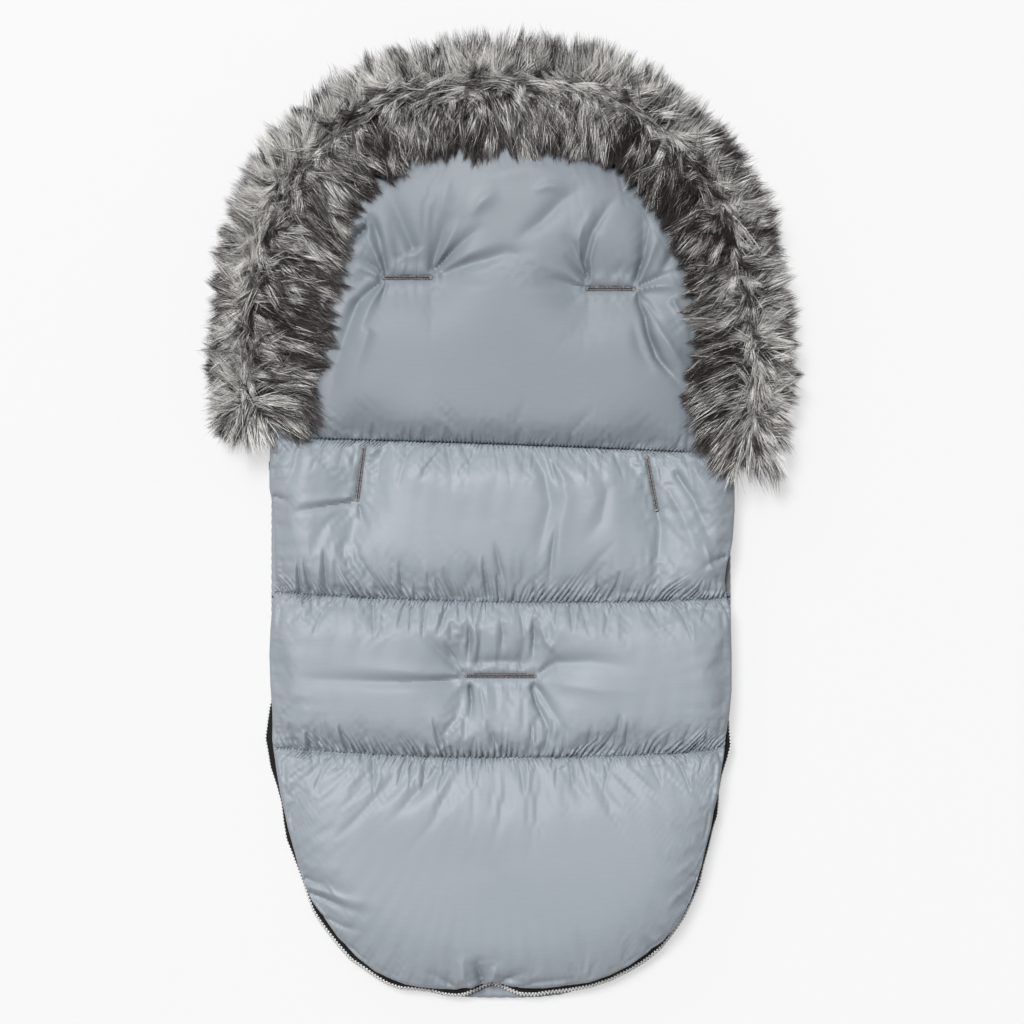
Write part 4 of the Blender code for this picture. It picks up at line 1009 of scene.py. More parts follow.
def sewn_detail(name, x, y):
    """Gathers, stitch lines, slots and folds of a section, as a height."""
    rise = fold_height(name, x, y)
    for i, seam in enumerate(SECTION_SEAMS[name]):
        away = np.abs(y - seam_y(seam, x))
        stitched = 0.55 + 0.6 * np.sin(2 * math.pi * x / SEAM_WAVE_PITCH + 1.0)
        rise += gathers(x, away, 100 * i + len(name), GATHERS[:1] if name == "head" else GATHERS)
        rise += stitch_folds(x, away, 200 + 10 * i + len(name), SEAM_SIDES[name][i])
        rise -= NEEDLE_DEPTH * stitched * np.exp(-(away / NEEDLE_REACH) ** 2)
        lengths = HEAD_PUCKER_LENGTHS if name == "head" else PUCKER_LENGTHS
        rise += puckers(x, away, 300 + 10 * i + len(name), PUCKER_SHARES[name][i], lengths)
    inside = np.maximum(edge_distance(x, y, SHELL_HALF_WIDTH, SHELL_FOOT_REACH), 0)
    if name != "head":
        rise += gathers(edge_run(x, y) + np.sign(x) * 0.4, inside, 700 + len(name), EDGE_GATHERS)
    for i, (key, slot) in enumerate(SLOTS.items()):
        away = slot_distance(slot, x, y)
        along, across = slot_frame(slot, x, y)
        near_side, far_side = SLOT_GATHER_SIDES[key]
        side = np.where(across > 0, near_side, far_side) * np.clip(1.5 - np.abs(along) / slot[2] * 2, 0, 1)
        rise += gathers(along, away, 900 + 20 * i, SLOT_GATHERS) * side
        rise += SLOT_SHOULDER * np.exp(-((away - SLOT_SHOULDER_AT) / SLOT_SHOULDER_WIDE) ** 2)
        rise -= SLOT_PINCH * np.exp(-(away / SLOT_PINCH_REACH) ** 2)
    return rise


def seam_wave(x, away):
    """The stitches pull the seam into a small zigzag, which fades away from it."""
    leaning = x + 0.6 * MM * wander(x, 11 * MM, 77)
    return SEAM_WAVE * np.sin(2 * math.pi * leaning / SEAM_WAVE_PITCH) * np.exp(-away / (2.5 * MM))


def near_slot(x, y, reach):
    return np.min([slot_distance(slot, x, y) for slot in SLOTS.values()], axis=0) < reach


def border(grid):
    """What lies all round the outside of a grid, in order."""
    return np.concatenate([grid[0], grid[1:, -1], grid[-1, -2::-1], grid[-2:0:-1, 0]])


def wall(first, second):
    """The faces between two rings that have the same number of points."""
    return np.stack([first, np.roll(first, -1, -1), np.roll(second, -1, -1), second], axis=-1)


def face_outward(thing, split_lids=False):
    """Turns the faces of a closed body outward. Lids with many corners can be split into triangles first."""
    bm = bmesh.new()
    bm.from_mesh(thing.data)
    if split_lids:
        bmesh.ops.triangulate(bm, faces=[f for f in bm.faces if len(f.verts) > 4])
    bmesh.ops.recalc_face_normals(bm, faces=bm.faces)
    bm.to_mesh(thing.data)
    bm.free()


def close_body(name, top, hem_z):
    """A closed body under a grid of points: the grid, walls down to the hem, and a flat lid."""
    rows, columns, _ = top.shape
    ring = border(np.arange(rows * columns).reshape(rows, columns))
    hem = top.reshape(-1, 3)[ring].copy()
    hem[:, 2] = hem_z
    hem_number = rows * columns + np.arange(len(ring))
    faces = [*grid_faces(rows, columns), *wall(ring, hem_number), hem_number]
    made = object_of(name, np.vstack([top.reshape(-1, 3), hem]), faces)
    face_outward(made, split_lids=True)
    return made


def stadium(length, half, steps=8):
    """A rounded slot's outline about the origin."""
    turns = np.linspace(-math.pi / 2, math.pi / 2, steps + 1)
    end = np.stack([length / 2 - half + half * np.cos(turns), half * np.sin(turns)], axis=-1)
    return np.vstack([end, -end])


def in_place(slot, along, across):
    """Plan points from places along and across a slot."""
    slot_x, slot_y, _, turn = slot
    c, s = math.cos(math.radians(turn)), math.sin(math.radians(turn))
    return slot_x + along * c - across * s, slot_y + along * s + across * c


def cut_slot(body, slot, low, high):
    """Cuts a slot right through a body."""
    outline = stadium(slot[2] + 2 * SLOT_CUT_HALF, SLOT_CUT_HALF)
    x, y = in_place(slot, outline[:, 0], outline[:, 1])
    count = len(x)
    rings = [np.stack([x, y, np.full(count, z)], axis=-1) for z in (low, high)]
    i = np.arange(count)
    cutter = object_of("slot_cutter", np.vstack(rings), [*wall(i, i + count), i[::-1], i + count])
    face_outward(cutter)
    only(body)
    cutting = body.modifiers.new("slot", "BOOLEAN")
    cutting.operation = "DIFFERENCE"
    cutting.solver = "MANIFOLD"
    cutting.object = cutter
    bpy.ops.object.modifier_apply(modifier=cutting.name)
    remove(cutter)


def smooth(thing, degrees=50):
    only(thing)
    bpy.ops.object.shade_smooth_by_angle(angle=math.radians(degrees))
    bpy.ops.object.select_all(action="DESELECT")


def dress(thing, paint):
    """One material all over a piece."""
    thing.data.materials.clear()
    thing.data.materials.append(paint)
    thing.data.polygons.foreach_set("material_index", np.zeros(len(thing.data.polygons), np.int32))
    thing.data.update()


def finish_piece(thing, paint, body, nodes, degrees=50):
    """Smooths and dresses a piece, hangs it on its body, and hides the CAD nodes that it stands for."""
    smooth(thing, degrees)
    dress(thing, paint)
    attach(thing, body)
    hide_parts(*nodes)


def back_section(name, sides):
    width, depth = np.ptp(sides[0][:, 0]), abs(sides[1][:, 1].mean() - sides[0][:, 1].mean())
    across, along = np.linspace(0, 1, int(width / COARSE_STEP)), np.linspace(0, 1, int(depth / COARSE_STEP))
    plan = patch(sides, across, along)
    x, y = plan[..., 0], plan[..., 1]
    rim = BACK_LINING_TOP + RIM_HEIGHT
    start = np.dstack([plan, rim + (back_height(x, y) - rim) * SIM_START_SHARE])
    sewn = np.zeros(x.shape, bool)
    sewn[[0, -1]] = True
    sewn[:, [0, -1]] = True
    sewn |= near_slot(x, y, SLOT_SEWN_REACH)
    if name == "head":
        sewn |= edge_distance(x, y, SHELL_HALF_WIDTH, SHELL_FOOT_REACH) < HEAD_ROLL_START
    move = swell(name, start, sewn, 1)
    across = np.linspace(0, 1, int(width / FINE_STEPS[name]))
    along = (graded_from_seam if name == "head" else graded)(FINE_ROWS[name], CROWDING[name])
    plan = patch(sides, across, along)
    x, y = plan[..., 0], plan[..., 1]
    top = np.dstack([plan, back_height(x, y)])
    top += refine(move, across, along) * SIM_SHARES[name]
    top[..., 2] += sewn_detail(name, x, y)
    for seam in SECTION_SEAMS[name]:
        top[..., 1] += seam_wave(x, np.abs(y - seam_y(seam, x)))
    top = shell_edge.moved(top, EDGE_DEPTH)
    made = close_body(name + "_section", top, BACK_LINING_TOP + 0.3 * MM)
    for key, section in SLOT_SECTION.items():
        if section == name:
            cut_slot(made, SLOTS[key], BACK_LINING_TOP - 5 * MM, CUTTER_TOP)
    # The head section gets the darker cloth, whose colour is painted shade
    paint = head_cloth_painted_shade if name == "head" else shell_cloth
    finish_piece(made, paint, "back", (name + "_shell", name + "_wadding"))
    print(f"{name}_section: {len(made.data.polygons)} faces, top at {top[..., 2].max() / MM:.1f} mm")


back_section("head", head_sides())
back_section("waist", band_sides(SEAM_HEAD, SEAM_WAIST, SHELL_HALF_WIDTH, SHELL_FOOT_REACH))
back_section("seat", band_sides(SEAM_WAIST, SEAM_SEAT, SHELL_HALF_WIDTH, SHELL_FOOT_REACH))
back_section("foot", foot_sides(SEAM_SEAT, SHELL_HALF_WIDTH, SHELL_FOOT_REACH))

# %% [markdown]
# ## Slot edgings
# Each harness slot is closed by satin stitch, like a buttonhole: a welt down the slit's two sides, wrapped
# in thread side by side, and a bar tack across each end. One stitch is a short arched tube. It is worked
# out once and repeated along both sides, at the height that the pinched cloth has there.

# %% Slot thread
THREAD_RADIUS = 0.26 * MM
STITCH_PITCH = 0.52 * MM
WELT_HALF = 1.65 * MM
SLIT_HALF = 0.4 * MM
# Places across the welt and heights over the cloth, in millimetres
STITCH_ARCH = ((0.30, -3.0), (0.34, -0.45), (0.7, 0.3), (1.25, 0.3), (1.75, -0.25), (1.95, -1.2))
TACK_ARCH = ((-2.3, -1.0), (-2.0, 0.25), (-1.0, 0.7), (0, 0.8), (1.0, 0.7), (2.0, 0.25), (2.3, -1.0))
TACK_THREADS = 5
TACK_PITCH = 0.42 * MM
GROUND_ASIDE = 2.6 * MM

sewing_thread = blank_material("polyester_sewing_thread")
place = add_node(sewing_thread, "ShaderNodeTexCoord")
# The plies of the thread: two turns a millimetre
plies = add_node(sewing_thread, "ShaderNodeTexWave", {
    "bands_direction": "DIAGONAL", "Scale": math.pi / 10 / (0.5 * MM), "Distortion": 1.0,
}, [("Vector", place, "Object")])
lots = add_node(sewing_thread, "ShaderNodeTexNoise", {"Scale": 900.0, "Detail": 1.0},
                [("Vector", place, "Object")])
shades = add_node(sewing_thread, "ShaderNodeValToRGB", links=[("Fac", lots, 0)])
shades.color_ramp.elements[0].position = 0.35
shades.color_ramp.elements[0].color = linear("#6A676A")
shades.color_ramp.elements[1].position = 0.65
shades.color_ramp.elements[1].color = linear("#A3A1A2")
twist = add_node(sewing_thread, "ShaderNodeBump", {"Strength": 0.4, "Distance": 0.1 * MM},
                 [("Height", plies, 1)])
shader = add_node(sewing_thread, "ShaderNodeBsdfPrincipled", {"Roughness": 0.5, "Sheen Weight": 0.2},
                  [("Base Color", shades, 0), ("Normal", twist, 0)])
add_node(sewing_thread, "ShaderNodeOutputMaterial", links=[("Surface", shader, 0)])


def cloth_top(section, x, y):
    return back_height(x, y) + sewn_detail(section, x, y)


def tubes(paths, radius, sides=4):
    """Vertices and faces of closed tubes along many paths of the same number of points."""
    ahead = unit(np.gradient(paths, axis=1))
    across = unit(np.cross(ahead, np.broadcast_to((0.31, 0.95, 0.05), ahead.shape)))
    third = np.cross(ahead, across)
    turns = 2 * math.pi * (np.arange(sides) + 0.5) / sides
    ring = across[:, :, None] * np.cos(turns)[:, None] + third[:, :, None] * np.sin(turns)[:, None]
    points = paths[:, :, None] + ring * radius
    number, length = paths.shape[:2]
    first = np.arange(number * length * sides).reshape(number, length, sides)
    walls = wall(first[:, :-1], first[:, 1:]).reshape(-1, 4)
    caps = np.concatenate([first[:, 0, ::-1], first[:, -1]])
    return points.reshape(-1, 3), [*walls, *caps]


def joined(name, parts):
    """One object from several lists of points and faces."""
    points, faces, first = [], [], 0
    for some_points, some_faces in parts:
        points.append(np.asarray(some_points).reshape(-1, 3))
        faces += [[int(i) + first for i in face] for face in some_faces]
        first += len(points[-1])
    made = object_of(name, np.vstack(points), faces)
    face_outward(made)
    return made


def welt(slot, section):
    """The cut edge of the slit, as a closed ring down through the layers."""
    inner = stadium(slot[2] + 2 * SLIT_HALF, SLIT_HALF)
    outer = stadium(slot[2] + 2 * WELT_HALF, WELT_HALF)
    rings = []
    for outline, low in ((inner, True), (outer, True), (outer, False), (inner, False)):
        x, y = in_place(slot, outline[:, 0], outline[:, 1])
        z = np.full(len(x), BACK_LINING_BASE) if low else cloth_top(section, x, y) + 0.1 * MM
        rings.append(np.stack([x, y, z], axis=-1))
    count = len(inner)
    number = np.arange(4 * count).reshape(4, count)
    faces = []
    for first, second in zip(number, np.roll(number, -1, axis=0)):
        faces += [*wall(first, second)]
    return np.vstack(rings), faces


def slot_edging(key, rng):
    """The welt, the stitches along both sides of the slit, and a bar tack across each of its ends."""
    slot, section = SLOTS[key], SLOT_SECTION[key]
    stitch_arch, tack_arch = np.array(STITCH_ARCH) * MM, np.array(TACK_ARCH) * MM
    half = slot[2] / 2
    places = np.arange(-half, half, STITCH_PITCH)
    parts = [welt(slot, section)]
    for hand in (-1, 1):
        along = places + 0.07 * MM * rng.normal(size=len(places))
        x, y = in_place(slot, along, np.full(len(along), hand * GROUND_ASIDE))
        ground = cloth_top(section, x, y)
        reach = 1 + 0.06 * rng.normal(size=(len(along), 1))
        across = hand * stitch_arch[:, 0] * reach
        slanting = 0.12 * MM * rng.normal(size=(len(along), 1))
        slant = along[:, None] + slanting * np.linspace(0, 1, len(stitch_arch))
        x, y = in_place(slot, slant, across)
        z = ground[:, None] + stitch_arch[:, 1]
        parts.append(tubes(np.stack([x, y, z], axis=-1), THREAD_RADIUS))
    for end in (-1, 1):
        along = end * (half + np.arange(TACK_THREADS) * TACK_PITCH - 0.3 * MM)
        across = np.broadcast_to(tack_arch[:, 0], (TACK_THREADS, len(tack_arch)))
        x, y = in_place(slot, along[:, None] + 0 * across, across)
        ground = cloth_top(section, *in_place(slot, along, np.full(TACK_THREADS, GROUND_ASIDE)))
        z = ground[:, None] + tack_arch[:, 1]
        parts.append(tubes(np.stack([x, y, z], axis=-1), THREAD_RADIUS))
    made = joined(key + "_edging", parts)
    finish_piece(made, sewing_thread, "back", (key,))
    return made


rng = np.random.default_rng(21)
for key in SLOTS:
    edging = slot_edging(key, rng)
    top_mm = max(v.co.z for v in edging.data.vertices) / MM
    print(f"{edging.name}: {len(edging.data.polygons)} faces, top {top_mm:.1f} mm")

# %% [markdown]
# ## Fleece linings
# Both linings are short fleece. Each is one sheet, 2 mm thick and sewn in all round, with soft dips where
# the quilting holds it. The nap is a fine noise of about a millimetre with longer clumps of about 6 mm.

# %% Fleece
fleece = blank_material("short_nap_fleece")
place = add_node(fleece, "ShaderNodeTexCoord")
nap = add_node(fleece, "ShaderNodeTexNoise", {"Scale": 1 / (1.1 * MM), "Detail": 4.0, "Roughness": 0.7},
               [("Vector", place, "Object")])
clumps = add_node(fleece, "ShaderNodeTexNoise", {"Scale": 1 / (6 * MM), "Detail": 3.0},
                  [("Vector", place, "Object")])
shades = add_node(fleece, "ShaderNodeValToRGB", links=[("Fac", clumps, 0)])
shades.color_ramp.elements[0].position = 0.35
shades.color_ramp.elements[0].color = linear("#B9B8B4")
shades.color_ramp.elements[1].position = 0.65
shades.color_ramp.elements[1].color = linear("#D2D1CD")
soft = add_node(fleece, "ShaderNodeBump", {"Strength": 0.7, "Distance": 0.5 * MM}, [("Height", nap, 0)])
lumpy = add_node(fleece, "ShaderNodeBump", {"Strength": 0.5, "Distance": 1.2 * MM},
                 [("Height", clumps, 0), ("Normal", soft, 0)])
shader = add_node(fleece, "ShaderNodeBsdfPrincipled", {"Roughness": 0.95, "Sheen Weight": 0.5},
                  [("Base Color", shades, 0), ("Normal", lumpy, 0)])
add_node(fleece, "ShaderNodeOutputMaterial", links=[("Surface", shader, 0)])

# %% Linings
LINING_INSET = 5.9 * MM
QUILTED_WIDE = 5 * MM
NAP_DIP = 0.9 * MM
NAP_BELOW = 0.55 * MM
COVER_TOP_Y = 50 * MM
COVER_SEAM_WAIST_Y = -80 * MM
COVER_SEAM_SEAT_Y = -230 * MM
COVER_LINING_BASE = 18 * MM
COVER_LINING_TOP = 20 * MM


def long_sides(top, half_width, reach, round_head):
    """Sides of the patch from the foot's arc up to a straight top, or to the head's arc."""
    foot = foot_point(np.linspace(0, ARC_CORNER, 60), half_width, reach)[::-1]
    near = foot_point(np.linspace(ARC_CORNER, math.pi - ARC_CORNER, 200), half_width, reach)
    if round_head:
        left = np.vstack([foot, head_point(np.linspace(0, ARC_CORNER, 60), half_width) * (-1, 1)])
        far = head_point(np.linspace(math.pi - ARC_CORNER, ARC_CORNER, 200), half_width)
    else:
        left = np.vstack([foot, [(-half_width, top)]])
        far = np.array([(-half_width, top), (half_width, top)])
    return near, far, left, left * (-1, 1)


def slab(name, low, high):
    """A closed body between two grids of points."""
    rows, columns, _ = low.shape
    above = rows * columns
    ring = border(np.arange(above).reshape(rows, columns))
    below = grid_faces(rows, columns)
    faces = [*below, *(below[:, ::-1] + above), *wall(ring, ring + above)]
    made = object_of(name, np.vstack([low.reshape(-1, 3), high.reshape(-1, 3)]), faces)
    face_outward(made)
    return made


def lining(name, node, body, sides, edge, low_z, high_z, seams, dips_low, slots):
    """A sheet of fleece between two heights. Its free face is the lower one if dips_low is true."""
    grid = edge.moved(patch(sides, np.linspace(0, 1, 88), np.linspace(0, 1, 170)), EDGE_DEPTH)
    x, y = grid[..., 0], grid[..., 1]
    dip = np.zeros_like(x)
    for seam in seams:
        dip = np.maximum(dip, np.exp(-((y - seam_y(seam, x)) / QUILTED_WIDE) ** 2))
    waves = 0.25 * MM * (wander(x + 0.4 * y, 31 * MM, 41) + wander(y - 0.3 * x, 37 * MM, 42))
    if dips_low:
        low, high = low_z + NAP_BELOW + NAP_DIP * dip + waves, np.full_like(x, high_z - 0.05 * MM)
    else:
        low, high = np.full_like(x, low_z + 0.05 * MM), high_z - NAP_BELOW - NAP_DIP * dip + waves
    made = slab(name, np.dstack([grid, low]), np.dstack([grid, high]))
    for slot in slots:
        cut_slot(made, slot, low_z - 10 * MM, high_z + 10 * MM)
    finish_piece(made, fleece, body, (node,))


lining_half = SHELL_HALF_WIDTH - LINING_INSET
lining("back_fleece", "back_lining", "back",
       long_sides(0, lining_half, SHELL_FOOT_REACH - LINING_INSET, True), shell_edge,
       BACK_LINING_BASE, BACK_LINING_TOP, (SEAM_HEAD, SEAM_WAIST, SEAM_SEAT), True, tuple(SLOTS.values()))

# %% [markdown]
# ## The front cover
# The cover lies underneath, quilted in three sections of the same taffeta. Its underside rests flat on
# the floor and lifts at the seams and edges. Only its rim shows at the foot, just outside the zip, so its
# rim is rounded and gathered. Its top edge is bound with a folded tape.

# %% Cover sections
COVER_DEPTH = 18 * MM
COVER_VALLEY = 9 * MM
FLAT_CUT = 0.5 * MM
COVER_COARSE_MM = 6
VALLEY_LIFT = 1.2 * MM
COVER_STEP = 2.6 * MM
COVER_HEM_Z = COVER_DEPTH - 0.3 * MM
RIM_ROUND = 5.5 * MM
RIM_PLEAT = 8 * MM
RIM_PLEAT_DEPTH = 1.3 * MM
COVER_TOP = (COVER_TOP_Y, 0.0, 0.0)
COVER_WAIST = (COVER_SEAM_WAIST_Y, 0.0, 0.0)
COVER_SEAT = (COVER_SEAM_SEAT_Y, 0.0, 0.0)


def cover_underside(x, y):
    full = roll(COVER_TOP_Y - y, SEAM_ROLL)
    for place_y in (COVER_SEAM_WAIST_Y, COVER_SEAM_SEAT_Y):
        full = full * roll(np.abs(y - place_y), SEAM_ROLL)
    full = full * roll(edge_distance(x, y, SHELL_HALF_WIDTH, COVER_FOOT_REACH), SIDE_ROLL)
    return np.maximum(COVER_VALLEY * (1 - full) - FLAT_CUT, 0)


def round_rim(name, under, hem_z):
    """A closed body over a grid: pleated walls, an upper edge that is rounded inward, and a flat lid."""
    rows, columns, _ = under.shape
    ring = border(np.arange(rows * columns).reshape(rows, columns))
    edge = under.reshape(-1, 3)[ring]
    ahead = np.roll(edge, -1, axis=0) - np.roll(edge, 1, axis=0)
    inward = unit(np.stack([-ahead[:, 1], ahead[:, 0]], axis=-1))
    middle = under.reshape(-1, 3)[:, :2].mean(axis=0)
    if np.sum(inward * (middle - edge[:, :2])) < 0:
        inward = -inward
    levels = []
    run = edge_run(edge[:, 0], edge[:, 1])
    pleat = np.abs(np.sin(math.pi * run / RIM_PLEAT + 1.5 * wander(run, 3 * RIM_PLEAT, 88))) ** 0.7
    dent = RIM_PLEAT_DEPTH * (1 - pleat)
    for turn in (0, 30, 60, 90):
        level = edge.copy()
        c, s = math.cos(math.radians(turn)), math.sin(math.radians(turn))
        level[:, :2] += inward * (RIM_ROUND * (1 - c) + dent[:, None] * 0.5 * c)
        level[:, 2] = hem_z - RIM_ROUND * (1 - s) - dent * s
        levels.append(level)
    points = np.vstack([under.reshape(-1, 3), *levels])
    loops = [ring] + [rows * columns + len(ring) * i + np.arange(len(ring)) for i in range(len(levels))]
    faces = [*grid_faces(rows, columns)]
    for first, second in zip(loops, loops[1:]):
        faces += [*wall(first, second)]
    made = object_of(name, points, [*faces, loops[-1]])
    face_outward(made, split_lids=True)
    return made


def cover_section(name, sides, seams):
    width, depth = np.ptp(sides[0][:, 0]), abs(sides[1][:, 1].mean() - sides[0][:, 1].mean())
    across = np.linspace(0, 1, int(width / COVER_COARSE_MM / MM))
    along = np.linspace(0, 1, int(depth / COVER_COARSE_MM / MM))
    plan = patch(sides, across, along)
    start = np.dstack([plan, cover_underside(plan[..., 0], plan[..., 1])])
    sewn = np.zeros(start.shape[:2], bool)
    sewn[[0, -1]] = True
    sewn[:, [0, -1]] = True
    move = swell(name, start, sewn, -1)
    across, along = np.linspace(0, 1, int(width / COVER_STEP)), graded(int(depth / COVER_STEP), 0.5)
    plan = patch(sides, across, along)
    x, y = plan[..., 0], plan[..., 1]
    under = np.dstack([plan, cover_underside(x, y)]) + refine(move, across, along)
    inside = np.maximum(edge_distance(x, y, SHELL_HALF_WIDTH, COVER_FOOT_REACH), 0)
    detail = gathers(edge_run(x, y), inside, 500 + len(name), EDGE_GATHERS)
    for i, seam in enumerate(seams):
        away = np.abs(y - seam_y(seam, x))
        valley = VALLEY_LIFT * np.exp(-(away / NEEDLE_REACH) ** 2)
        detail += gathers(x, away, 540 + 20 * i + len(name)) + valley
    under[..., 2] = np.maximum(under[..., 2] + detail, 0)
    under = cover_edge.moved(under, EDGE_DEPTH)
    made = round_rim(name + "_section", under, COVER_HEM_Z)
    finish_piece(made, cover_cloth, "cover", (name + "_shell", name + "_wadding"))
    print(f"{name}_section: {len(made.data.polygons)} faces")


cover_section("cover_chest", band_sides(COVER_TOP, COVER_WAIST, SHELL_HALF_WIDTH, COVER_FOOT_REACH),
              (COVER_TOP, COVER_WAIST))
cover_section("cover_lap", band_sides(COVER_WAIST, COVER_SEAT, SHELL_HALF_WIDTH, COVER_FOOT_REACH),
              (COVER_WAIST, COVER_SEAT))
cover_section("cover_foot", foot_sides(COVER_SEAT, SHELL_HALF_WIDTH, COVER_FOOT_REACH), (COVER_SEAT,))
lining("cover_fleece", "cover_lining", "cover",
       long_sides(COVER_TOP_Y, lining_half, COVER_FOOT_REACH - LINING_INSET, False), chain_edge,
       COVER_LINING_BASE, COVER_LINING_TOP, (COVER_WAIST, COVER_SEAT), False, ())

# %% Cover binding
BINDING_CLOTH = 0.6 * MM
BINDING_MIDDLE_Z = 14 * MM
PUCKER_PITCH = 5.6 * MM
PUCKER_RISE = 0.22 * MM
BINDING_FOLD = (
    (44.5, 20.75), (48.0, 20.85), (52.0, 20.7), (54.8, 19.6), (56.4, 17.0), (56.6, 14.0), (56.0, 11.0),
    (54.4, 8.9), (52.0, 7.9), (48.5, 7.7), (45.5, 7.5),
)


def folded_tape(name, fold, half_width, cloth, columns):
    """A strip of cloth folded over an edge that runs along x. The fold lists its places as (y, z)."""
    line = np.array(fold) * MM
    ahead = np.gradient(line, axis=0)
    normal = unit(np.stack([-ahead[:, 1], ahead[:, 0]], axis=-1))
    x = np.linspace(-half_width, half_width, columns)
    pucker = PUCKER_RISE * np.sin(2 * math.pi * x / PUCKER_PITCH + 2 * wander(x, 23 * MM, 63))
    place = np.arange(len(line))
    turned_in = np.exp(-(place / 1.4) ** 2) + np.exp(-((len(line) - 1 - place) / 1.4) ** 2)
    grids = []
    for side in (0, 1):
        section = line + normal * cloth * side
        outward = np.sign(BINDING_MIDDLE_Z - section[:, 1])[None] * -0.5
        y = section[:, 0][None] + 0 * x[:, None]
        z = section[:, 1][None] + pucker[:, None] * (1 - 0.6 * turned_in)[None] * outward
        grids.append(np.dstack([np.broadcast_to(x[:, None], y.shape), y, z]))
    return slab(name, grids[0], grids[1]), line


bound_tape = taffeta("binding_taffeta", "#8A939B", 0.45)
binding, fold_line = folded_tape("cover_binding", BINDING_FOLD, lining_half, BINDING_CLOTH, 260)
finish_piece(binding, bound_tape, "cover", ("cover_top_binding",))

# %% [markdown]
# ## The zip
# The chain stands on edge between the cover and the back, so it shows from above in two places only:
# round the foot, where it leans outward and its face rolls up towards the camera, and along the sides
# below the sliders' travel, where it wanders out from under the cloth. Its run, lean and wander are
# written once and the tapes and both combs of teeth follow them.

# %% The chain's run
CHAIN_Z = 27 * MM
CHAIN_HALF_HEIGHT = 3 * MM
TOOTH_PITCH = 3.3 * MM
TOOTH_THICK = 2.6 * MM
SLIDER_PLACES = {"left": (-1, 47.5 * MM), "right": (1, 44.5 * MM)}
CHAIN_TOPS = {"left": 49.9 * MM, "right": 46.9 * MM}
TAPE_TOPS = {"left": 61.3 * MM, "right": 58.3 * MM}
FOOT_LEAN = math.radians(34)
FOOT_LEAN_RIGHT = math.radians(3)
RUN_STEPS = 4000


def chain_plan():
    turns = np.linspace(0, math.pi, RUN_STEPS)
    arc = foot_point(turns, CHAIN_HALF_WIDTH, CHAIN_FOOT_REACH)
    left = [(-CHAIN_HALF_WIDTH, TAPE_TOPS["left"])]
    right = [(CHAIN_HALF_WIDTH, TAPE_TOPS["right"])]
    line = evenly(np.vstack([left, arc, right]), np.linspace(0, 1, RUN_STEPS))
    line = chain_edge.moved(line, EDGE_DEPTH)
    return evenly(line, np.linspace(0, 1, RUN_STEPS))


def chain_lean(x, y):
    """How far the chain rolls up: none along the sides, most round the foot, more so right of its middle."""
    share = np.clip((-300 * MM - y) / (130 * MM), 0, 1)
    right = np.clip(x / (20 * MM), 0, 1)
    return (FOOT_LEAN + FOOT_LEAN_RIGHT * right) * share * share * (3 - 2 * share)


chain_line = chain_plan()
chain_long = length_of(chain_line)


def chain_frames(shares):
    """The chain's middle points, and its directions ahead, across (up its height) and out of its face."""
    at = np.clip(shares, 0, 1) * (RUN_STEPS - 1)
    rows = np.arange(RUN_STEPS)
    outer = np.stack([np.interp(at, rows, chain_line[:, i]) for i in range(2)], axis=-1)
    slope = np.gradient(chain_line, axis=0)
    ahead = unit(np.stack([np.interp(at, rows, slope[:, i]) for i in range(2)], axis=-1))
    out = np.stack([ahead[:, 1], -ahead[:, 0]], axis=-1)
    lean = chain_lean(outer[:, 0], outer[:, 1])
    c, s = np.cos(lean)[:, None], np.sin(lean)[:, None]
    flat = np.concatenate([out, np.zeros((len(out), 1))], axis=1)
    up = np.broadcast_to((0.0, 0.0, 1.0), flat.shape)
    face = flat * c + up * s
    across = up * c - flat * s
    middle = np.concatenate([outer - out * TOOTH_THICK / 2, np.full((len(outer), 1), CHAIN_Z)], axis=1)
    return middle, np.concatenate([ahead, np.zeros((len(ahead), 1))], axis=1), across, face


# %% [markdown]
# ## Teeth
# A moulded tooth has a broad foot that grips the tape's cord, a narrow neck and a head that locks between
# the heads of the other side. One tooth is drawn as five rounded sections and copied along each half,
# the two halves half a pitch apart.

# %% Teeth
TOOTH_SECTIONS = (
    (3.05, 0.80, 1.05), (2.80, 1.0, 1.30), (1.35, 1.02, 1.30), (0.75, 0.58, 1.05), (-0.15, 0.76, 1.05),
    (-0.95, 0.74, 0.95), (-1.30, 0.42, 0.62),
)
TOOTH_CORNERS = ((-1, -0.5), (-0.6, -1), (0.6, -1), (1, -0.5), (1, 0.5), (0.6, 1), (-0.6, 1), (-1, 0.5))


def tooth_template():
    points = []
    for across, half_along, half_out in TOOTH_SECTIONS:
        points += [(a * half_along, across, o * half_out) for a, o in TOOTH_CORNERS]
    around = len(TOOTH_CORNERS)
    number = np.arange(len(points)).reshape(-1, around)
    faces = []
    for first, second in zip(number, number[1:]):
        faces += [*wall(first, second)]
    return np.array(points) * MM, np.array(faces), (number[0][::-1], number[-1])


def comb(name, node, body, side, paint):
    template, walls, caps = tooth_template()
    start = (TAPE_TOPS["left"] - CHAIN_TOPS["left"]) / chain_long
    end = 1 - (TAPE_TOPS["right"] - CHAIN_TOPS["right"]) / chain_long
    number = int((end - start) * chain_long / TOOTH_PITCH)
    shift = 0.25 if side > 0 else 0.75
    shares = start + (np.arange(number) + shift) * TOOTH_PITCH / chain_long
    middle, ahead, across, face = chain_frames(shares)
    at = middle[:, None] + template[None, :, 0:1] * ahead[:, None]
    at = at + side * template[None, :, 1:2] * across[:, None] + template[None, :, 2:3] * face[:, None]
    first = (np.arange(number) * len(template))[:, None, None]
    quads = (first + walls[None]).reshape(-1, 4)
    ends = np.concatenate([(first + cap[None, None]).reshape(-1, len(cap)) for cap in caps])
    made = object_of(name, at, [*quads, *ends])
    face_outward(made)
    finish_piece(made, paint, body, (node,), 40)
    print(f"{name}: {number} teeth, {len(made.data.polygons)} faces")


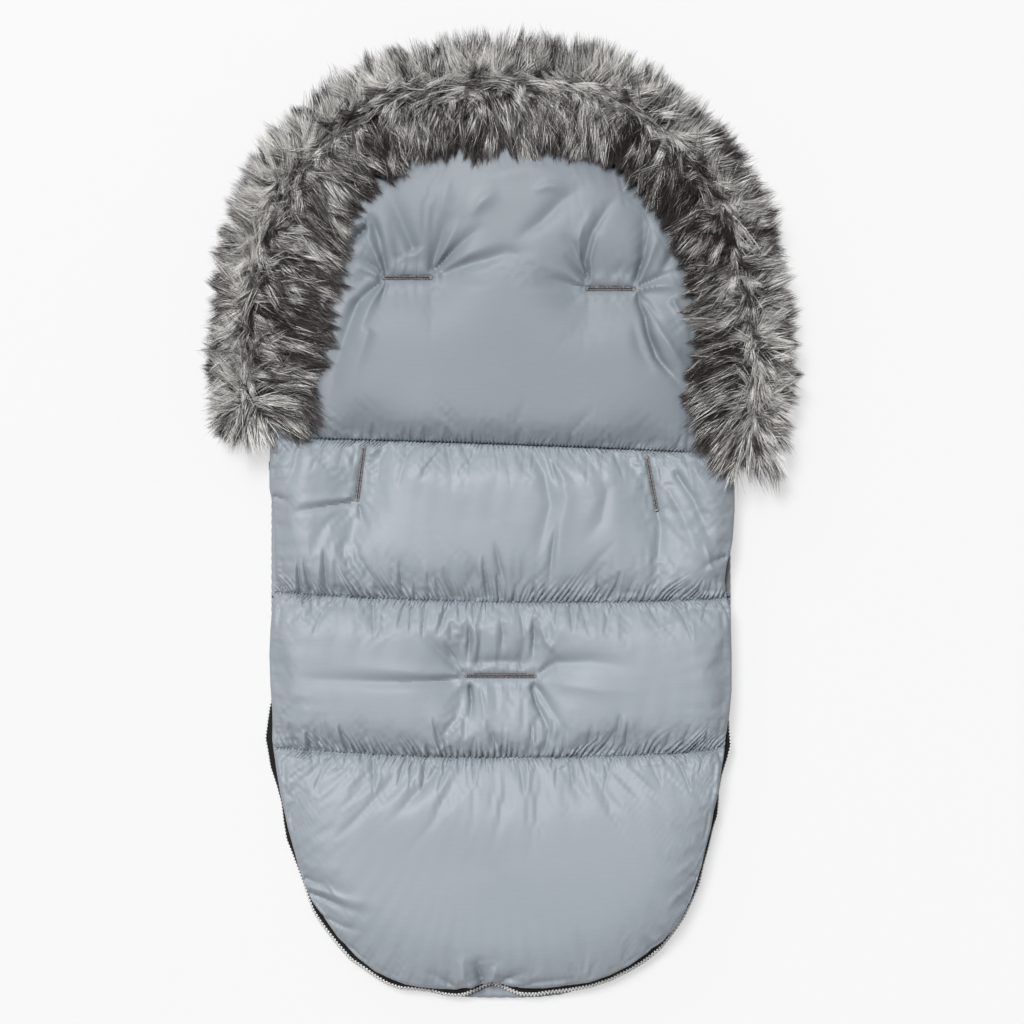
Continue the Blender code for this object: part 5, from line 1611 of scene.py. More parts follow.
# Acetal teeth: pale, smooth and slightly pearly, with the mould's faint flow marks
acetal = blank_material("moulded_acetal")
place = add_node(acetal, "ShaderNodeTexCoord")
flow = add_node(acetal, "ShaderNodeTexNoise", {"Scale": 700.0, "Detail": 2.0},
                [("Vector", place, "Object")])
shades = add_node(acetal, "ShaderNodeValToRGB", links=[("Fac", flow, 0)])
shades.color_ramp.elements[0].position = 0.3
shades.color_ramp.elements[0].color = linear("#E7E9E8")
shades.color_ramp.elements[1].position = 0.7
shades.color_ramp.elements[1].color = linear("#FBFBF9")
marks = add_node(acetal, "ShaderNodeBump", {"Strength": 0.15, "Distance": 0.05 * MM},
                 [("Height", flow, 0)])
shader = add_node(acetal, "ShaderNodeBsdfPrincipled", {
    "Roughness": 0.28, "Coat Weight": 0.2, "Subsurface Weight": 0.5, "Subsurface Scale": 1.2 * MM,
    "Subsurface Radius": (1.0, 1.0, 1.0),
}, [("Base Color", shades, 0), ("Normal", marks, 0)])
add_node(acetal, "ShaderNodeOutputMaterial", links=[("Surface", shader, 0)])
comb("zip_teeth_upper", "zip_teeth_back", "back", 1, acetal)
comb("zip_teeth_lower", "zip_teeth_cover", "cover", -1, acetal)

# %% [markdown]
# ## Tapes
# Each tape is a black twill ribbon, 0.7 mm thick, with a cord woven into the edge that carries the teeth.
# Its other edge is sewn under the panel's rim. Twill shows as fine slanting ribs, 0.6 mm apart.

# %% Tapes
TAPE_THICK = 0.7 * MM
TAPE_COLUMNS = 900
SEWN_UNDER = 6.2 * MM
HEM_INSIDE_CHAIN = 0.6 * MM
CORD_BEHIND = 0.35 * MM
# Heights over the chain's middle and half thicknesses
CORD_SECTION = ((1.25 * MM, 0.35 * MM), (1.5 * MM, 0.85 * MM), (2.1 * MM, 1.1 * MM), (2.6 * MM, 0.8 * MM),
                (2.85 * MM, 0.35 * MM))
TWILL_RIB = 0.6 * MM

twill = blank_material("black_twill_tape")
place = add_node(twill, "ShaderNodeTexCoord")
ribs = add_node(twill, "ShaderNodeTexWave", {
    "bands_direction": "DIAGONAL", "Scale": math.pi / 10 / TWILL_RIB, "Distortion": 0.6,
}, [("Vector", place, "Object")])
fuzz = add_node(twill, "ShaderNodeTexNoise", {"Scale": 1400.0, "Detail": 2.0},
                [("Vector", place, "Object")])
shades = add_node(twill, "ShaderNodeValToRGB", links=[("Fac", ribs, 1)])
shades.color_ramp.elements[0].color = linear("#07080A")
shades.color_ramp.elements[1].color = linear("#17191C")
ridge = add_node(twill, "ShaderNodeBump", {"Strength": 0.5, "Distance": 0.12 * MM},
                 [("Height", ribs, 1)])
rough = add_node(twill, "ShaderNodeBump", {"Strength": 0.3, "Distance": 0.06 * MM},
                 [("Height", fuzz, 0), ("Normal", ridge, 0)])
shader = add_node(twill, "ShaderNodeBsdfPrincipled", {"Roughness": 0.8, "Specular IOR Level": 0.3},
                  [("Base Color", shades, 0), ("Normal", rough, 0)])
add_node(twill, "ShaderNodeOutputMaterial", links=[("Surface", shader, 0)])


def tape(name, node, body, side, hem_z, panel_reach, edge):
    shares = np.linspace(0, 1, TAPE_COLUMNS)
    middle, _, across, face = chain_frames(shares)
    middle = middle - face * CORD_BEHIND
    rise = middle + side * across * (CHAIN_HALF_HEIGHT + 0.9 * MM)
    angles = np.linspace(0, math.pi, RUN_STEPS)
    panel = edge.moved(foot_point(angles, SHELL_HALF_WIDTH, panel_reach), EDGE_DEPTH)
    ends = [(-SHELL_HALF_WIDTH, TAPE_TOPS["left"])], [(SHELL_HALF_WIDTH, TAPE_TOPS["right"])]
    rim = evenly(np.vstack([ends[0], panel, ends[1]]), np.linspace(0, 1, RUN_STEPS))
    nearest = rim[np.argmin(np.linalg.norm(rim[None] - middle[:, None, :2], axis=-1), axis=1)]
    inward = unit(-np.concatenate([face[:, :2], np.zeros((len(face), 1))], axis=1))
    # The tape is sewn under the rim, but never further out than the chain itself
    depth = np.einsum("ij,ij->i", nearest - middle[:, :2], inward[:, :2]) + 1.0 * MM
    depth = np.maximum(depth, HEM_INSIDE_CHAIN)
    hem = middle + inward * depth[:, None]
    hem[:, 2] = hem_z - side * 0.4 * MM
    bulge = (rise + hem) / 2 - inward * 0.5 * MM
    rows = [middle + side * across * up for up, _ in CORD_SECTION]
    rows += [rise, bulge, hem, hem + inward * SEWN_UNDER]
    half_thick = np.append([half for _, half in CORD_SECTION], [TAPE_THICK / 2] * 4)[None, :, None]
    grid = np.stack(rows, axis=1)
    normal = unit(np.cross(np.gradient(grid, axis=0), np.gradient(grid, axis=1)))
    made = slab(name, grid - normal * half_thick, grid + normal * half_thick)
    finish_piece(made, twill, body, (node,))


tape("zip_tape_upper", "zip_tape_back", "back", 1, BACK_LINING_TOP, SHELL_FOOT_REACH, shell_edge)
tape("zip_tape_lower", "zip_tape_cover", "cover", -1, COVER_DEPTH, COVER_FOOT_REACH, cover_edge)

# %% [markdown]
# ## Sliders, pulls and stops
# The sliders and pulls are zinc castings, painted black. The CAD solids have the right shape but knife
# edges, so each gets a copy with rounded edges. The stops keep their CAD solids.

# %% Zip hardware
EDGE_ROUND = 0.22 * MM

painted_zinc = blank_material("painted_zinc_casting")
place = add_node(painted_zinc, "ShaderNodeTexCoord")
orange_peel = add_node(painted_zinc, "ShaderNodeTexNoise", {"Scale": 1500.0, "Detail": 1.0},
                       [("Vector", place, "Object")])
rubbed = add_node(painted_zinc, "ShaderNodeTexNoise", {"Scale": 260.0, "Detail": 3.0},
                  [("Vector", place, "Object")])
edges = add_node(painted_zinc, "ShaderNodeNewGeometry")
wear = add_node(painted_zinc, "ShaderNodeMapRange", {"From Min": 0.50, "From Max": 0.62},
                [("Value", edges, "Pointiness")])
worn = add_node(painted_zinc, "ShaderNodeMath", {"operation": "MULTIPLY"}, [(0, wear, 0), (1, rubbed, 0)])
shades = add_node(painted_zinc, "ShaderNodeMix", {
    "data_type": "RGBA", 6: linear("#1B1C1E"), 7: linear("#6F7174"),
}, [(0, worn, 0)])
peel = add_node(painted_zinc, "ShaderNodeBump", {"Strength": 0.2, "Distance": 0.03 * MM},
                [("Height", orange_peel, 0)])
shader = add_node(painted_zinc, "ShaderNodeBsdfPrincipled", {"Roughness": 0.32, "Coat Weight": 0.3},
                  [("Base Color", shades, 2), ("Normal", peel, 0)])
add_node(painted_zinc, "ShaderNodeOutputMaterial", links=[("Surface", shader, 0)])


def rounded_copy(node, name, body):
    """A copy of a CAD node with rounded edges, which stands for it."""
    only(bpy.data.objects[node])
    bpy.ops.object.duplicate(linked=False)
    made = bpy.context.object
    made.name = name
    made.data.name = name
    bpy.ops.object.mode_set(mode="EDIT")
    bpy.ops.mesh.select_all(action="SELECT")
    bpy.ops.mesh.remove_doubles(threshold=0.02 * MM)
    bpy.ops.mesh.dissolve_limited(angle_limit=math.radians(3))
    bpy.ops.mesh.normals_make_consistent(inside=False)
    bpy.ops.object.mode_set(mode="OBJECT")
    bpy.ops.object.modifier_add(type="BEVEL")
    rounding = made.modifiers[-1]
    rounding.width = EDGE_ROUND
    rounding.segments = 2
    rounding.limit_method = "ANGLE"
    rounding.angle_limit = math.radians(30)
    bpy.ops.object.modifier_apply(modifier=rounding.name)
    finish_piece(made, painted_zinc, body, (node,), 45)
    print(f"{name}: {len(made.data.polygons)} faces, at {[round(v / MM, 1) for v in made.location]}")


for word in SLIDER_PLACES:
    rounded_copy("zip_slider_" + word, f"slider_{word}_casting", "slider_" + word)
    rounded_copy("zip_pull_" + word, f"pull_{word}_casting", "pull_" + word)
    for half in ("back", "cover"):
        dress(bpy.data.objects[f"zip_stop_{half}_{word}"], acetal)

# %% [markdown]
# ## Fur trim
# The trim is long-pile faux fur: acrylic hair knitted into a backing, sewn round the head section and
# folded over its edge. The hair falls away from a parting to both sides and clings in pointed locks. It
# is pale grey with dark brown tips. Real strands are the only thing that gives that broken edge and
# depth, so each strand is a narrow tapered ribbon, and the locks come from drawing the strands of one
# root patch together at their tips. The parting and both edges of the fur were read from enlarged views
# of the photograph.

# %% The strip that the fur grows on
HEAD_ENDS_Y = (74 * MM, 58 * MM)
PARTING = (
    (243, 452), (243, 408), (246, 370), (248, 330), (252, 285), (262, 240), (276, 200), (300, 165),
    (328, 138), (360, 115), (400, 97), (440, 90), (480, 86), (520, 85), (560, 88), (600, 95),
    (632, 108), (660, 130), (684, 153), (705, 180), (722, 210), (735, 245), (745, 282), (752, 320),
    (756, 360), (755, 400), (752, 430), (750, 470),
)
INNER_TIPS = (
    (325, 455), (326, 425), (328, 370), (338, 330), (348, 285), (352, 240), (358, 215), (372, 200),
    (392, 180), (415, 165), (445, 160), (480, 160), (520, 162), (560, 158), (590, 160), (610, 168),
    (625, 185), (652, 213), (668, 240), (679, 270), (686, 300), (690, 335), (684, 365), (680, 392),
    (690, 420), (707, 445), (720, 470),
)
OUTER_TIPS = (
    (212, 440), (205, 395), (208, 350), (212, 300), (222, 245), (236, 195), (262, 145), (300, 103),
    (338, 74), (380, 54), (420, 42), (460, 35), (500, 32), (540, 35), (600, 45), (632, 57), (662, 76),
    (694, 98), (722, 124), (750, 160), (770, 200), (782, 245), (791, 290), (797, 345), (794, 395),
    (785, 440), (778, 480),
)
ROUTE_POINTS = 600


def head_route():
    """The head section's edge, from its left end round to its right."""
    arc = head_point(np.linspace(math.pi, 0, 400), SHELL_HALF_WIDTH)
    ends = [(-SHELL_HALF_WIDTH, HEAD_ENDS_Y[0]), (SHELL_HALF_WIDTH, HEAD_ENDS_Y[1])]
    return evenly(np.vstack([ends[:1], arc, ends[1:]]), np.linspace(0, 1, ROUTE_POINTS))


edge_line = head_route()
route_long = length_of(edge_line)
edge_ahead = unit(np.gradient(edge_line, axis=0))
edge_out = np.stack([-edge_ahead[:, 1], edge_ahead[:, 0]], axis=-1)


def reach_along_edge(line):
    """How far outside the edge a drawn line lies, all along the edge."""
    drawn = evenly([from_pixels(*p) for p in line], np.linspace(0, 1, 800))
    nearest = np.argmin(np.linalg.norm(drawn[:, None] - edge_line[None], axis=-1), axis=1)
    out = np.einsum("ij,ij->i", drawn - edge_line[nearest], edge_out[nearest])
    order = np.argsort(nearest, kind="stable")
    return np.interp(np.arange(ROUTE_POINTS), nearest[order], out[order])


parting_out = reach_along_edge(PARTING)
inner_out = reach_along_edge(INNER_TIPS)
outer_out = reach_along_edge(OUTER_TIPS)
print("Fur edge", round(route_long / MM), "mm long; parting", round(parting_out.mean() / MM), "mm outside it")


def along_edge(values, share):
    return np.interp(np.clip(share, 0, 1) * (ROUTE_POINTS - 1), np.arange(ROUTE_POINTS), values)


def in_plan(values, share):
    """Pairs of x and y, read at shares along the edge."""
    return np.stack([along_edge(values[:, i], share) for i in range(2)], axis=-1)


def directions(share):
    """The ahead and outward directions in plan at shares along the edge."""
    return in_plan(edge_ahead, share), in_plan(edge_out, share)


def on_edge(share, out, z):
    """Points in space from shares along the edge, distances outside it, and heights."""
    place = in_plan(edge_line, share) + in_plan(edge_out, share) * out[..., None]
    return np.concatenate([place, z[..., None]], axis=-1)


# %% [markdown]
# The backing is a soft roll round the edge. Its section runs from the inner sewn edge over the parting
# and round to the underside. For each corner of it the list below gives the distance outside the edge
# and the height, how strongly it follows the parting and the inner sewn edge as they wander, and which
# way the hair lies there, outward and up.

# %% Backing roll
ROLL = (
    (-42, 51.5, 0.0, 1.0, -1.0, 0.10),
    (-22, 53.5, 0.2, 0.55, -1.0, 0.10),
    (-2, 54.5, 0.6, 0.15, -0.97, 0.22),
    (14, 54.0, 1.0, 0.0, -0.75, 0.60),
    (21, 52.5, 1.0, 0.0, 0.35, 0.85),
    (27, 46.5, 1.0, 0.0, 0.90, 0.35),
    (30, 36.0, 1.0, 0.0, 1.0, 0.00),
    (25, 24.0, 0.8, 0.0, 0.95, -0.30),
    (10, 16.5, 0.4, 0.0, 0.55, -0.40),
    (-12, 19.0, 0.0, 0.0, -0.85, -0.20),
    (-36, 27.0, 0.0, 0.0, -1.0, 0.0),
)
PARTING_MEAN = 20 * MM
INNER_SEAM_SHARE = 26 * MM
INNER_CORNER_OUT = -42 * MM
ROLL_MIDDLE_OUT = -6 * MM
ROLL_MIDDLE_Z = 34 * MM
ROLL_CLOTH = 1.2 * MM


def roll_point(share, place):
    """A place on the roll, counted in corners: distance outside the edge, height, and the hair's lie."""
    table = np.array(ROLL)
    corners = np.arange(len(ROLL))
    out, z, with_parting, with_inner, lie_out, lie_up = [np.interp(place, corners, c) for c in table.T]
    sewn = np.maximum(along_edge(inner_out, share) + INNER_SEAM_SHARE, INNER_CORNER_OUT) - INNER_CORNER_OUT
    out = out * MM + with_parting * (along_edge(parting_out, share) - PARTING_MEAN) + with_inner * sewn
    return out, z * MM, lie_out, lie_up


ring_shares = np.linspace(0.025, 0.992, 150)
ring_places = np.linspace(0, len(ROLL) - 1, 41)
outer_rows, inner_rows = [], []
for share in ring_shares:
    here = np.full(ring_places.shape, share)
    out, z, _, _ = roll_point(here, ring_places)
    outer_rows.append(on_edge(here, out, z))
    inward = unit(np.stack([ROLL_MIDDLE_OUT - out, ROLL_MIDDLE_Z - z], axis=-1))
    inner_rows.append(on_edge(here, out + inward[:, 0] * ROLL_CLOTH, z + inward[:, 1] * ROLL_CLOTH))
sections = np.concatenate([np.array(outer_rows), np.array(inner_rows)[:, ::-1]], axis=1)
count = sections.shape[1]
numbers = np.arange(sections.shape[0] * count).reshape(-1, count)
skin_faces = []
for first, second in zip(numbers, numbers[1:]):
    skin_faces += [*wall(first, second)]
half = count // 2
for end in (numbers[0], numbers[-1]):
    skin_faces += [(end[i], end[i + 1], end[count - 2 - i], end[count - 1 - i]) for i in range(half - 1)]
fur_skin = object_of("fur_skin", sections, skin_faces)
face_outward(fur_skin)

# %% [markdown]
# Knitted backing shows only between the hairs, so it gets a dark rough finish with the
# loops of the knit, about 2.5 mm apart, as a bump. Its dark colour is partly the knit's own and partly
# painted shade for the gaps between the hairs.

# %% Knit backing finish
KNIT_LOOP = 2.5 * MM
knit = blank_material("knit_backing_and_painted_shade")
place = add_node(knit, "ShaderNodeTexCoord")
loops = add_node(knit, "ShaderNodeTexVoronoi", {"Scale": 1 / KNIT_LOOP}, [("Vector", place, "Object")])
dents = add_node(knit, "ShaderNodeBump", {"Strength": 0.6, "Distance": 0.4 * MM},
                 [("Height", loops, "Distance")])
# The dark base colour is partly painted shade between the hairs
shader = add_node(knit, "ShaderNodeBsdfPrincipled", {"Base Color": linear("#35322F"), "Roughness": 0.95},
                  [("Normal", dents, 0)])
add_node(knit, "ShaderNodeOutputMaterial", links=[("Surface", shader, 0)])
finish_piece(fur_skin, knit, "back", ("fur_backing",))

# %% [markdown]
# ## Growing the hair
# Hair grows in locks. Each lock has a root place on the roll and one lie, and its strands start round
# that place and draw together at the tip. The lie follows the table above, sways slowly along the trim,
# and fans out at both ends of the strip, where nothing holds it. Three values go with every strand for
# its dye and painted shade: how far along the strand a point is, the strand's tone with its painted
# shade, and how brown its lock is.

# %% Strands
LOCKS = 4200
STRANDS_PER_LOCK = 40
LOOSE_SHARE = 0.26
LOCK_RADIUS = 6.2 * MM
LOCK_HOLD = 0.70
HAIR_LENGTH = 37 * MM
HAIR_HALF_WIDTH = 0.22 * MM
HAIR_POINTS = 4
HAIR_TAPER = (0.8, 1.0, 0.75, 0.1)
FIRST_ROOT = 15 * MM
END_FAN = 36 * MM
FUR_PIECES = 7
HIGHEST_TIP = 76 * MM
LOWEST_TIP = 1.5 * MM
PARTING_CORNER = 3.7
INNER_BEFORE = 3.6
UNDER_AFTER = 8.2
# Locks on the inner side, the outer side and the underside: their shares, and their first and last corner
KIND_SHARES = (0.50, 0.37, 0.13)
KIND_FIRST = (0.0, 3.4, 8.0)
KIND_LAST = (3.9, 8.4, 10.0)
# How far the hair stands out of the roll, outward and up, at each of its corners
STAND_OUT = (-0.3, -0.15, -0.1, 0.1, 0.5, 0.85, 1, 0.8, 0.3, -0.1, -0.3)
STAND_UP = (1, 1, 1, 1, 0.85, 0.5, 0, -0.6, -1, -1, -1)
TUFT_WIDTH = 7 * MM
TUFT_REACH = 7.5 * MM
TUFT_MEAN = 2.5 * MM
TUFT_DRAWN = 12 * MM
TUFT_GATHER = 1.7 * MM
TUFT_LOCK_SPREAD = 1.8 * MM
TUFT_STRAND_SPREAD = 1.7 * MM
TUFT_SLOPE = 0.12
LEFT_END_MIDDLE = (254, 404)
LEFT_END_RADIUS = 48 * MM
LEFT_END_REACH = 27 * MM
HAIR_CLEAR = 2.5 * MM


# How strongly the tips are dyed at shares along the edge, on the inner and the outer side of the parting
INNER_DYE = (
    (0, 0.6), (0.05, 1.5), (0.15, 1.9), (0.25, 1.7), (0.31, 0.9), (0.36, 1.8), (0.4, 1.1), (0.5, 0.9),
    (0.6, 1.1), (0.66, 2.1), (0.72, 1.8), (0.79, 2.1), (0.88, 1.8), (0.95, 1.3), (1, 0.6),
)
OUTER_DYE = (
    (0, 0.2), (0.03, 1.0), (0.1, 1.9), (0.16, 1.3), (0.2, 0.9), (0.25, 1.7), (0.3, 1.0), (0.5, 1.2),
    (0.7, 1.4), (0.9, 1.5), (1, 0.9),
)
# Painted shade: how much darker the strands are made at shares along the edge, most towards the right end
PAINTED_SHADE_ALONG = ((0, 0.0), (0.30, 0.0), (0.42, -0.05), (0.58, -0.07), (0.72, -0.14), (0.90, -0.13), (1, -0.06))


def smooth_wander(share, bumps, seed):
    return wander(share * route_long, route_long / bumps, seed)


def grow(rng, number, lock_share, lock_place):
    """The locks' roots, lies and lengths, and which of them are on the inner side and on the underside."""
    out, z, lie_out, lie_up = roll_point(lock_share, lock_place)
    root = on_edge(lock_share, out, z)
    ahead, away = directions(lock_share)
    inner = lock_place < INNER_BEFORE
    under = lock_place > UNDER_AFTER
    run = lock_share * route_long
    from_left, from_right = run - FIRST_ROOT, route_long - run
    sway = 0.22 * smooth_wander(lock_share, 16, 5) + 0.20 * smooth_wander(lock_share, 40, 6)
    sway += 0.22 * rng.normal(size=number)
    right_half = lock_share > 0.5
    sway += np.where(inner, np.where(right_half, 0.34, -0.18), np.where(right_half, 0.02, 0.06))
    sway -= 1.25 * np.exp(-(from_left / END_FAN) ** 2)
    sway += 1.55 * np.exp(-(from_right / END_FAN) ** 2)
    parted = np.exp(-(lock_place - PARTING_CORNER) ** 2)
    lie_out = lie_out * (1 + 0.1 * rng.normal(size=number)) + 0.65 * parted * rng.normal(size=number)
    sway += 0.7 * parted * rng.normal(size=number)
    flat = ahead * sway[:, None] + away * lie_out[:, None]
    lie = unit(np.concatenate([flat, (lie_up + 0.10 * rng.normal(size=number))[:, None]], axis=1))
    # At the left end the hair stands out all round from one point
    from_end = root[:, :2] - from_pixels(*LEFT_END_MIDDLE)
    off = np.maximum(np.linalg.norm(from_end, axis=1), 1e-6)
    turned = np.exp(-(off / LEFT_END_REACH) ** 4) * ~under
    radial = np.concatenate([from_end / off[:, None], np.zeros((number, 1))], axis=1)
    radial = radial + 0.45 * rng.normal(size=radial.shape) * (1, 1, 0)
    lie = unit(lie + turned[:, None] * (0.9 * radial - 0.4 * lie))
    length = HAIR_LENGTH * (1 + 0.16 * rng.normal(size=number)) * (1 - 0.18 * parted)
    length *= np.where(inner, 1.0, np.where(under, 0.8, 1.0))
    return root, lie, length, inner, under


def hair(rng):
    """Curve points of all strands, the values for their dye and painted shade, and which lock each strand is
    in.
    """
    lock_share = rng.uniform(FIRST_ROOT / route_long, 0.996, LOCKS)
    kinds = rng.choice(len(KIND_SHARES), LOCKS, p=KIND_SHARES)
    lock_place = rng.uniform(np.array(KIND_FIRST)[kinds], np.array(KIND_LAST)[kinds])
    root, lie, length, inner, under = grow(rng, LOCKS, lock_share, lock_place)
    corners = np.arange(len(ROLL))
    tilt = np.interp(lock_place, corners, STAND_OUT)
    rise = np.interp(lock_place, corners, STAND_UP)
    out_of_skin = unit(np.column_stack([directions(lock_share)[1] * tilt[:, None], rise]))
    lift = 0.30 + 0.10 * rng.normal(size=LOCKS)
    lock_middle = root + (length * 0.5)[:, None] * (lie * 0.8 + out_of_skin * lift[:, None])
    lock_tip = root + length[:, None] * (lie * 0.95 + out_of_skin * (lift * 0.35)[:, None])
    patch_brown = 0.5 + 0.5 * smooth_wander(lock_share, 46, 9)
    patch_brown = patch_brown * 0.5 + 0.5 * rng.uniform(size=LOCKS)
    tip_in = np.where(inner, np.clip(1.4 - lock_place / 1.7, 0, 1), 0)
    tip_out = np.where(~inner, np.clip((lock_place - 4.2) / 1.2, 0, 1), 0)
    patch_in = np.clip((patch_brown - 0.30) * 2.4, 0, 1) * np.interp(lock_share, *zip(*INNER_DYE))
    patch_out = np.clip((patch_brown - 0.32) * 2.8, 0, 1) * np.interp(lock_share, *zip(*OUTER_DYE))
    patch_in, patch_out = patch_in * (0.52 + 0.75 * tip_in), patch_out * (0.12 + 0.75 * tip_out)
    brown = np.clip(np.where(inner, patch_in, patch_out), 0, 1)

    per = np.repeat(np.arange(LOCKS), STRANDS_PER_LOCK)
    number = len(per)
    spread = rng.normal(size=(number, 2)) * LOCK_RADIUS * 0.55
    share = np.clip(lock_share[per] + spread[:, 0] / route_long, 0.002, 0.998)
    place = np.clip(lock_place[per] + spread[:, 1] / (13 * MM), 0, len(ROLL) - 1)
    out, z, _, _ = roll_point(share, place)
    strand_root = on_edge(share, out, z)
    on_cloth = back_height(strand_root[:, 0], strand_root[:, 1]) + 0.3 * MM
    strand_root[:, 2] = np.where(place < 1.5, np.maximum(strand_root[:, 2], on_cloth), strand_root[:, 2])
    offset = strand_root - root[per]
    loose = rng.uniform(size=number) < LOOSE_SHARE
    hold = np.where(loose, 0.1, LOCK_HOLD)[:, None] * (1 + 0.12 * rng.normal(size=(number, 1)))
    stretch = (1 + 0.13 * rng.normal(size=number) + np.where(loose, 0.10, 0))[:, None]
    jitter = rng.normal(size=(number, 3)) * np.where(loose, 4.6, 1.3)[:, None] * MM
    middle = strand_root + (lock_middle - root)[per] * stretch - offset * hold * 0.35 + jitter * 0.4
    tip = strand_root + (lock_tip - root)[per] * stretch - offset * hold + jitter
    # Painted shade along the trim, darkest towards the right end; inner strands are also darker and outer
    # ones lighter
    lighter = np.where(inner, -0.07, 0.14) + np.interp(lock_share, *zip(*PAINTED_SHADE_ALONG))
    shade = np.clip(rng.normal(0.5, 0.32, number) + (lighter + 0.24 * rng.normal(size=LOCKS))[per], 0, 1)
    # Round the parting the strands start further along the ramp, so the painted root shade is weaker there
    root_shade_lift = 0.45 * np.exp(-(place - PARTING_CORNER) ** 2)
    return share, strand_root, middle, tip, shade, brown[per], under[per], root_shade_lift, per


rng = np.random.default_rng(11)
share, hair_root, hair_middle, hair_tip, shade, brown, under, root_shade_lift, lock_of = hair(rng)
ahead, away = directions(share)
from_edge = hair_tip[:, :2] - in_plan(edge_line, share)
out_there = np.einsum("ij,ij->i", from_edge, away)
tip_run = share * route_long + np.einsum("ij,ij->i", from_edge, ahead)
beyond = out_there - along_edge(outer_out, share)
short_of = along_edge(inner_out, share) - out_there


def tuft(run):
    """How far the tufts stand out at places along the edge: pointed, with round gaps between them."""
    pointed = 0.75 - 2.2 * np.abs(wander(run, 1.6 * TUFT_WIDTH, 31)) + 0.4 * wander(run, 0.6 * TUFT_WIDTH, 32)
    return pointed * (0.62 + 0.5 * wander(run, 4 * TUFT_WIDTH, 33))


tufts = tuft(tip_run)
allow = TUFT_MEAN + TUFT_REACH * tufts * np.where(out_there < 0, 1.4, 1.0)
allow += (TUFT_LOCK_SPREAD * rng.normal(size=LOCKS))[lock_of]
allow += TUFT_STRAND_SPREAD * rng.normal(size=len(share))
past_edge = np.maximum(beyond, short_of)
pull = np.where(past_edge > allow, allow - past_edge, 0)
# Tips that almost reach the edge are drawn out to it where a tuft is
almost = (past_edge < allow) & (past_edge > allow - TUFT_DRAWN)
pull += np.where(almost, 0.6 * np.clip(tufts, 0, 1) * (allow - past_edge), 0)
pull *= np.where(short_of > beyond, -1, 1)
# Towards its point the strands of a tuft draw together
slope = (tuft(tip_run + MM) - tuft(tip_run - MM)) / 2
near_edge = np.clip(1 + (past_edge - allow) / TUFT_DRAWN, 0, 1)
hair_tip[:, :2] += ahead * (TUFT_GATHER * np.tanh(slope / TUFT_SLOPE) * near_edge)[:, None]
hair_tip[:, :2] += away * pull[:, None]
hair_middle[:, :2] += away * (pull * 0.45)[:, None]
# The left end of the strip is a round swirl
swirl = np.array(from_pixels(*LEFT_END_MIDDLE))
from_swirl = hair_tip[:, :2] - swirl
far = np.hypot(from_swirl[:, 0] * np.where(from_swirl[:, 0] > 0, 0.58, 1), from_swirl[:, 1])
low = (hair_tip[:, 0] < 0) & (from_swirl[:, 1] < 0)
rim = LEFT_END_RADIUS * (1 + 0.07 * rng.normal(size=len(far)))
short = np.where(low & (far > rim), rim / far, 1)
hair_tip[:, :2] = swirl + from_swirl * short[:, None]
for part, clear in ((hair_middle, 2.2 * HAIR_CLEAR), (hair_tip, HAIR_CLEAR)):
    part[:, 2] = np.clip(part[:, 2], LOWEST_TIP, HIGHEST_TIP)
    over_cloth = (out_there < -5 * MM) & ~under & (part[:, 1] > 50 * MM)
    cloth_there = back_height(part[:, 0], part[:, 1]) + clear
    part[:, 2] = np.where(over_cloth, np.maximum(part[:, 2], cloth_there), part[:, 2])
print("Hair strands:", len(share))


def ribbons(root, middle, tip, rng):
    """Vertices and faces of tapered ribbons along quadratic curves."""
    q = np.linspace(0, 1, HAIR_POINTS)[None, :, None]
    line = (1 - q) ** 2 * root[:, None] + 2 * q * (1 - q) * middle[:, None] + q ** 2 * tip[:, None]
    ahead = np.gradient(line, axis=1)
    ahead /= np.maximum(np.linalg.norm(ahead, axis=2, keepdims=True), 1e-9)
    facing = np.array((0, 0, 1.0)) + 0.45 * rng.normal(size=(len(root), 1, 3))
    side = np.cross(ahead, facing)
    side /= np.maximum(np.linalg.norm(side, axis=2, keepdims=True), 1e-9)
    taper = (HAIR_HALF_WIDTH * np.array(HAIR_TAPER))[None, :, None]
    both = np.stack([line - side * taper, line + side * taper], axis=2)
    points = np.concatenate([both[:, :-1].reshape(len(root), -1, 3), line[:, -1:]], axis=1)
    per = points.shape[1]
    one = [(2 * i, 2 * i + 1, 2 * i + 3, 2 * i + 2) for i in range(HAIR_POINTS - 2)]
    base = (np.arange(len(root)) * per)[:, None]
    quads = (base[:, None] + np.array(one)[None]).reshape(-1, 4)
    tips = (base + np.array([(per - 3, per - 2, per - 1)])).reshape(-1, 3)
    reach = np.append(np.repeat(q[0, :-1, 0], 2), 1.0)
    return points, quads, tips, reach


def hair_object(name, points, quads, tips, values):
    """A mesh of loose ribbons with one named float on each vertex for every entry of values."""
    mesh = bpy.data.meshes.new(name)
    mesh.vertices.add(len(points))
    mesh.vertices.foreach_set("co", points.astype(np.float32).ravel())
    loops = np.concatenate([quads.ravel(), tips.ravel()])
    mesh.loops.add(len(loops))
    mesh.loops.foreach_set("vertex_index", loops.astype(np.int32))
    mesh.polygons.add(len(quads) + len(tips))
    starts = np.concatenate([np.arange(len(quads)) * 4, len(quads) * 4 + np.arange(len(tips)) * 3])
    mesh.polygons.foreach_set("loop_start", starts.astype(np.int32))
    mesh.update(calc_edges=True)
    for key, numbers in values.items():
        mesh.attributes.new(key, "FLOAT", "POINT").data.foreach_set("value", numbers.astype(np.float32))
    mesh.polygons.foreach_set("use_smooth", np.ones(len(mesh.polygons), bool))
    made = bpy.data.objects.new(name, mesh)
    scene.collection.objects.link(made)
    return made
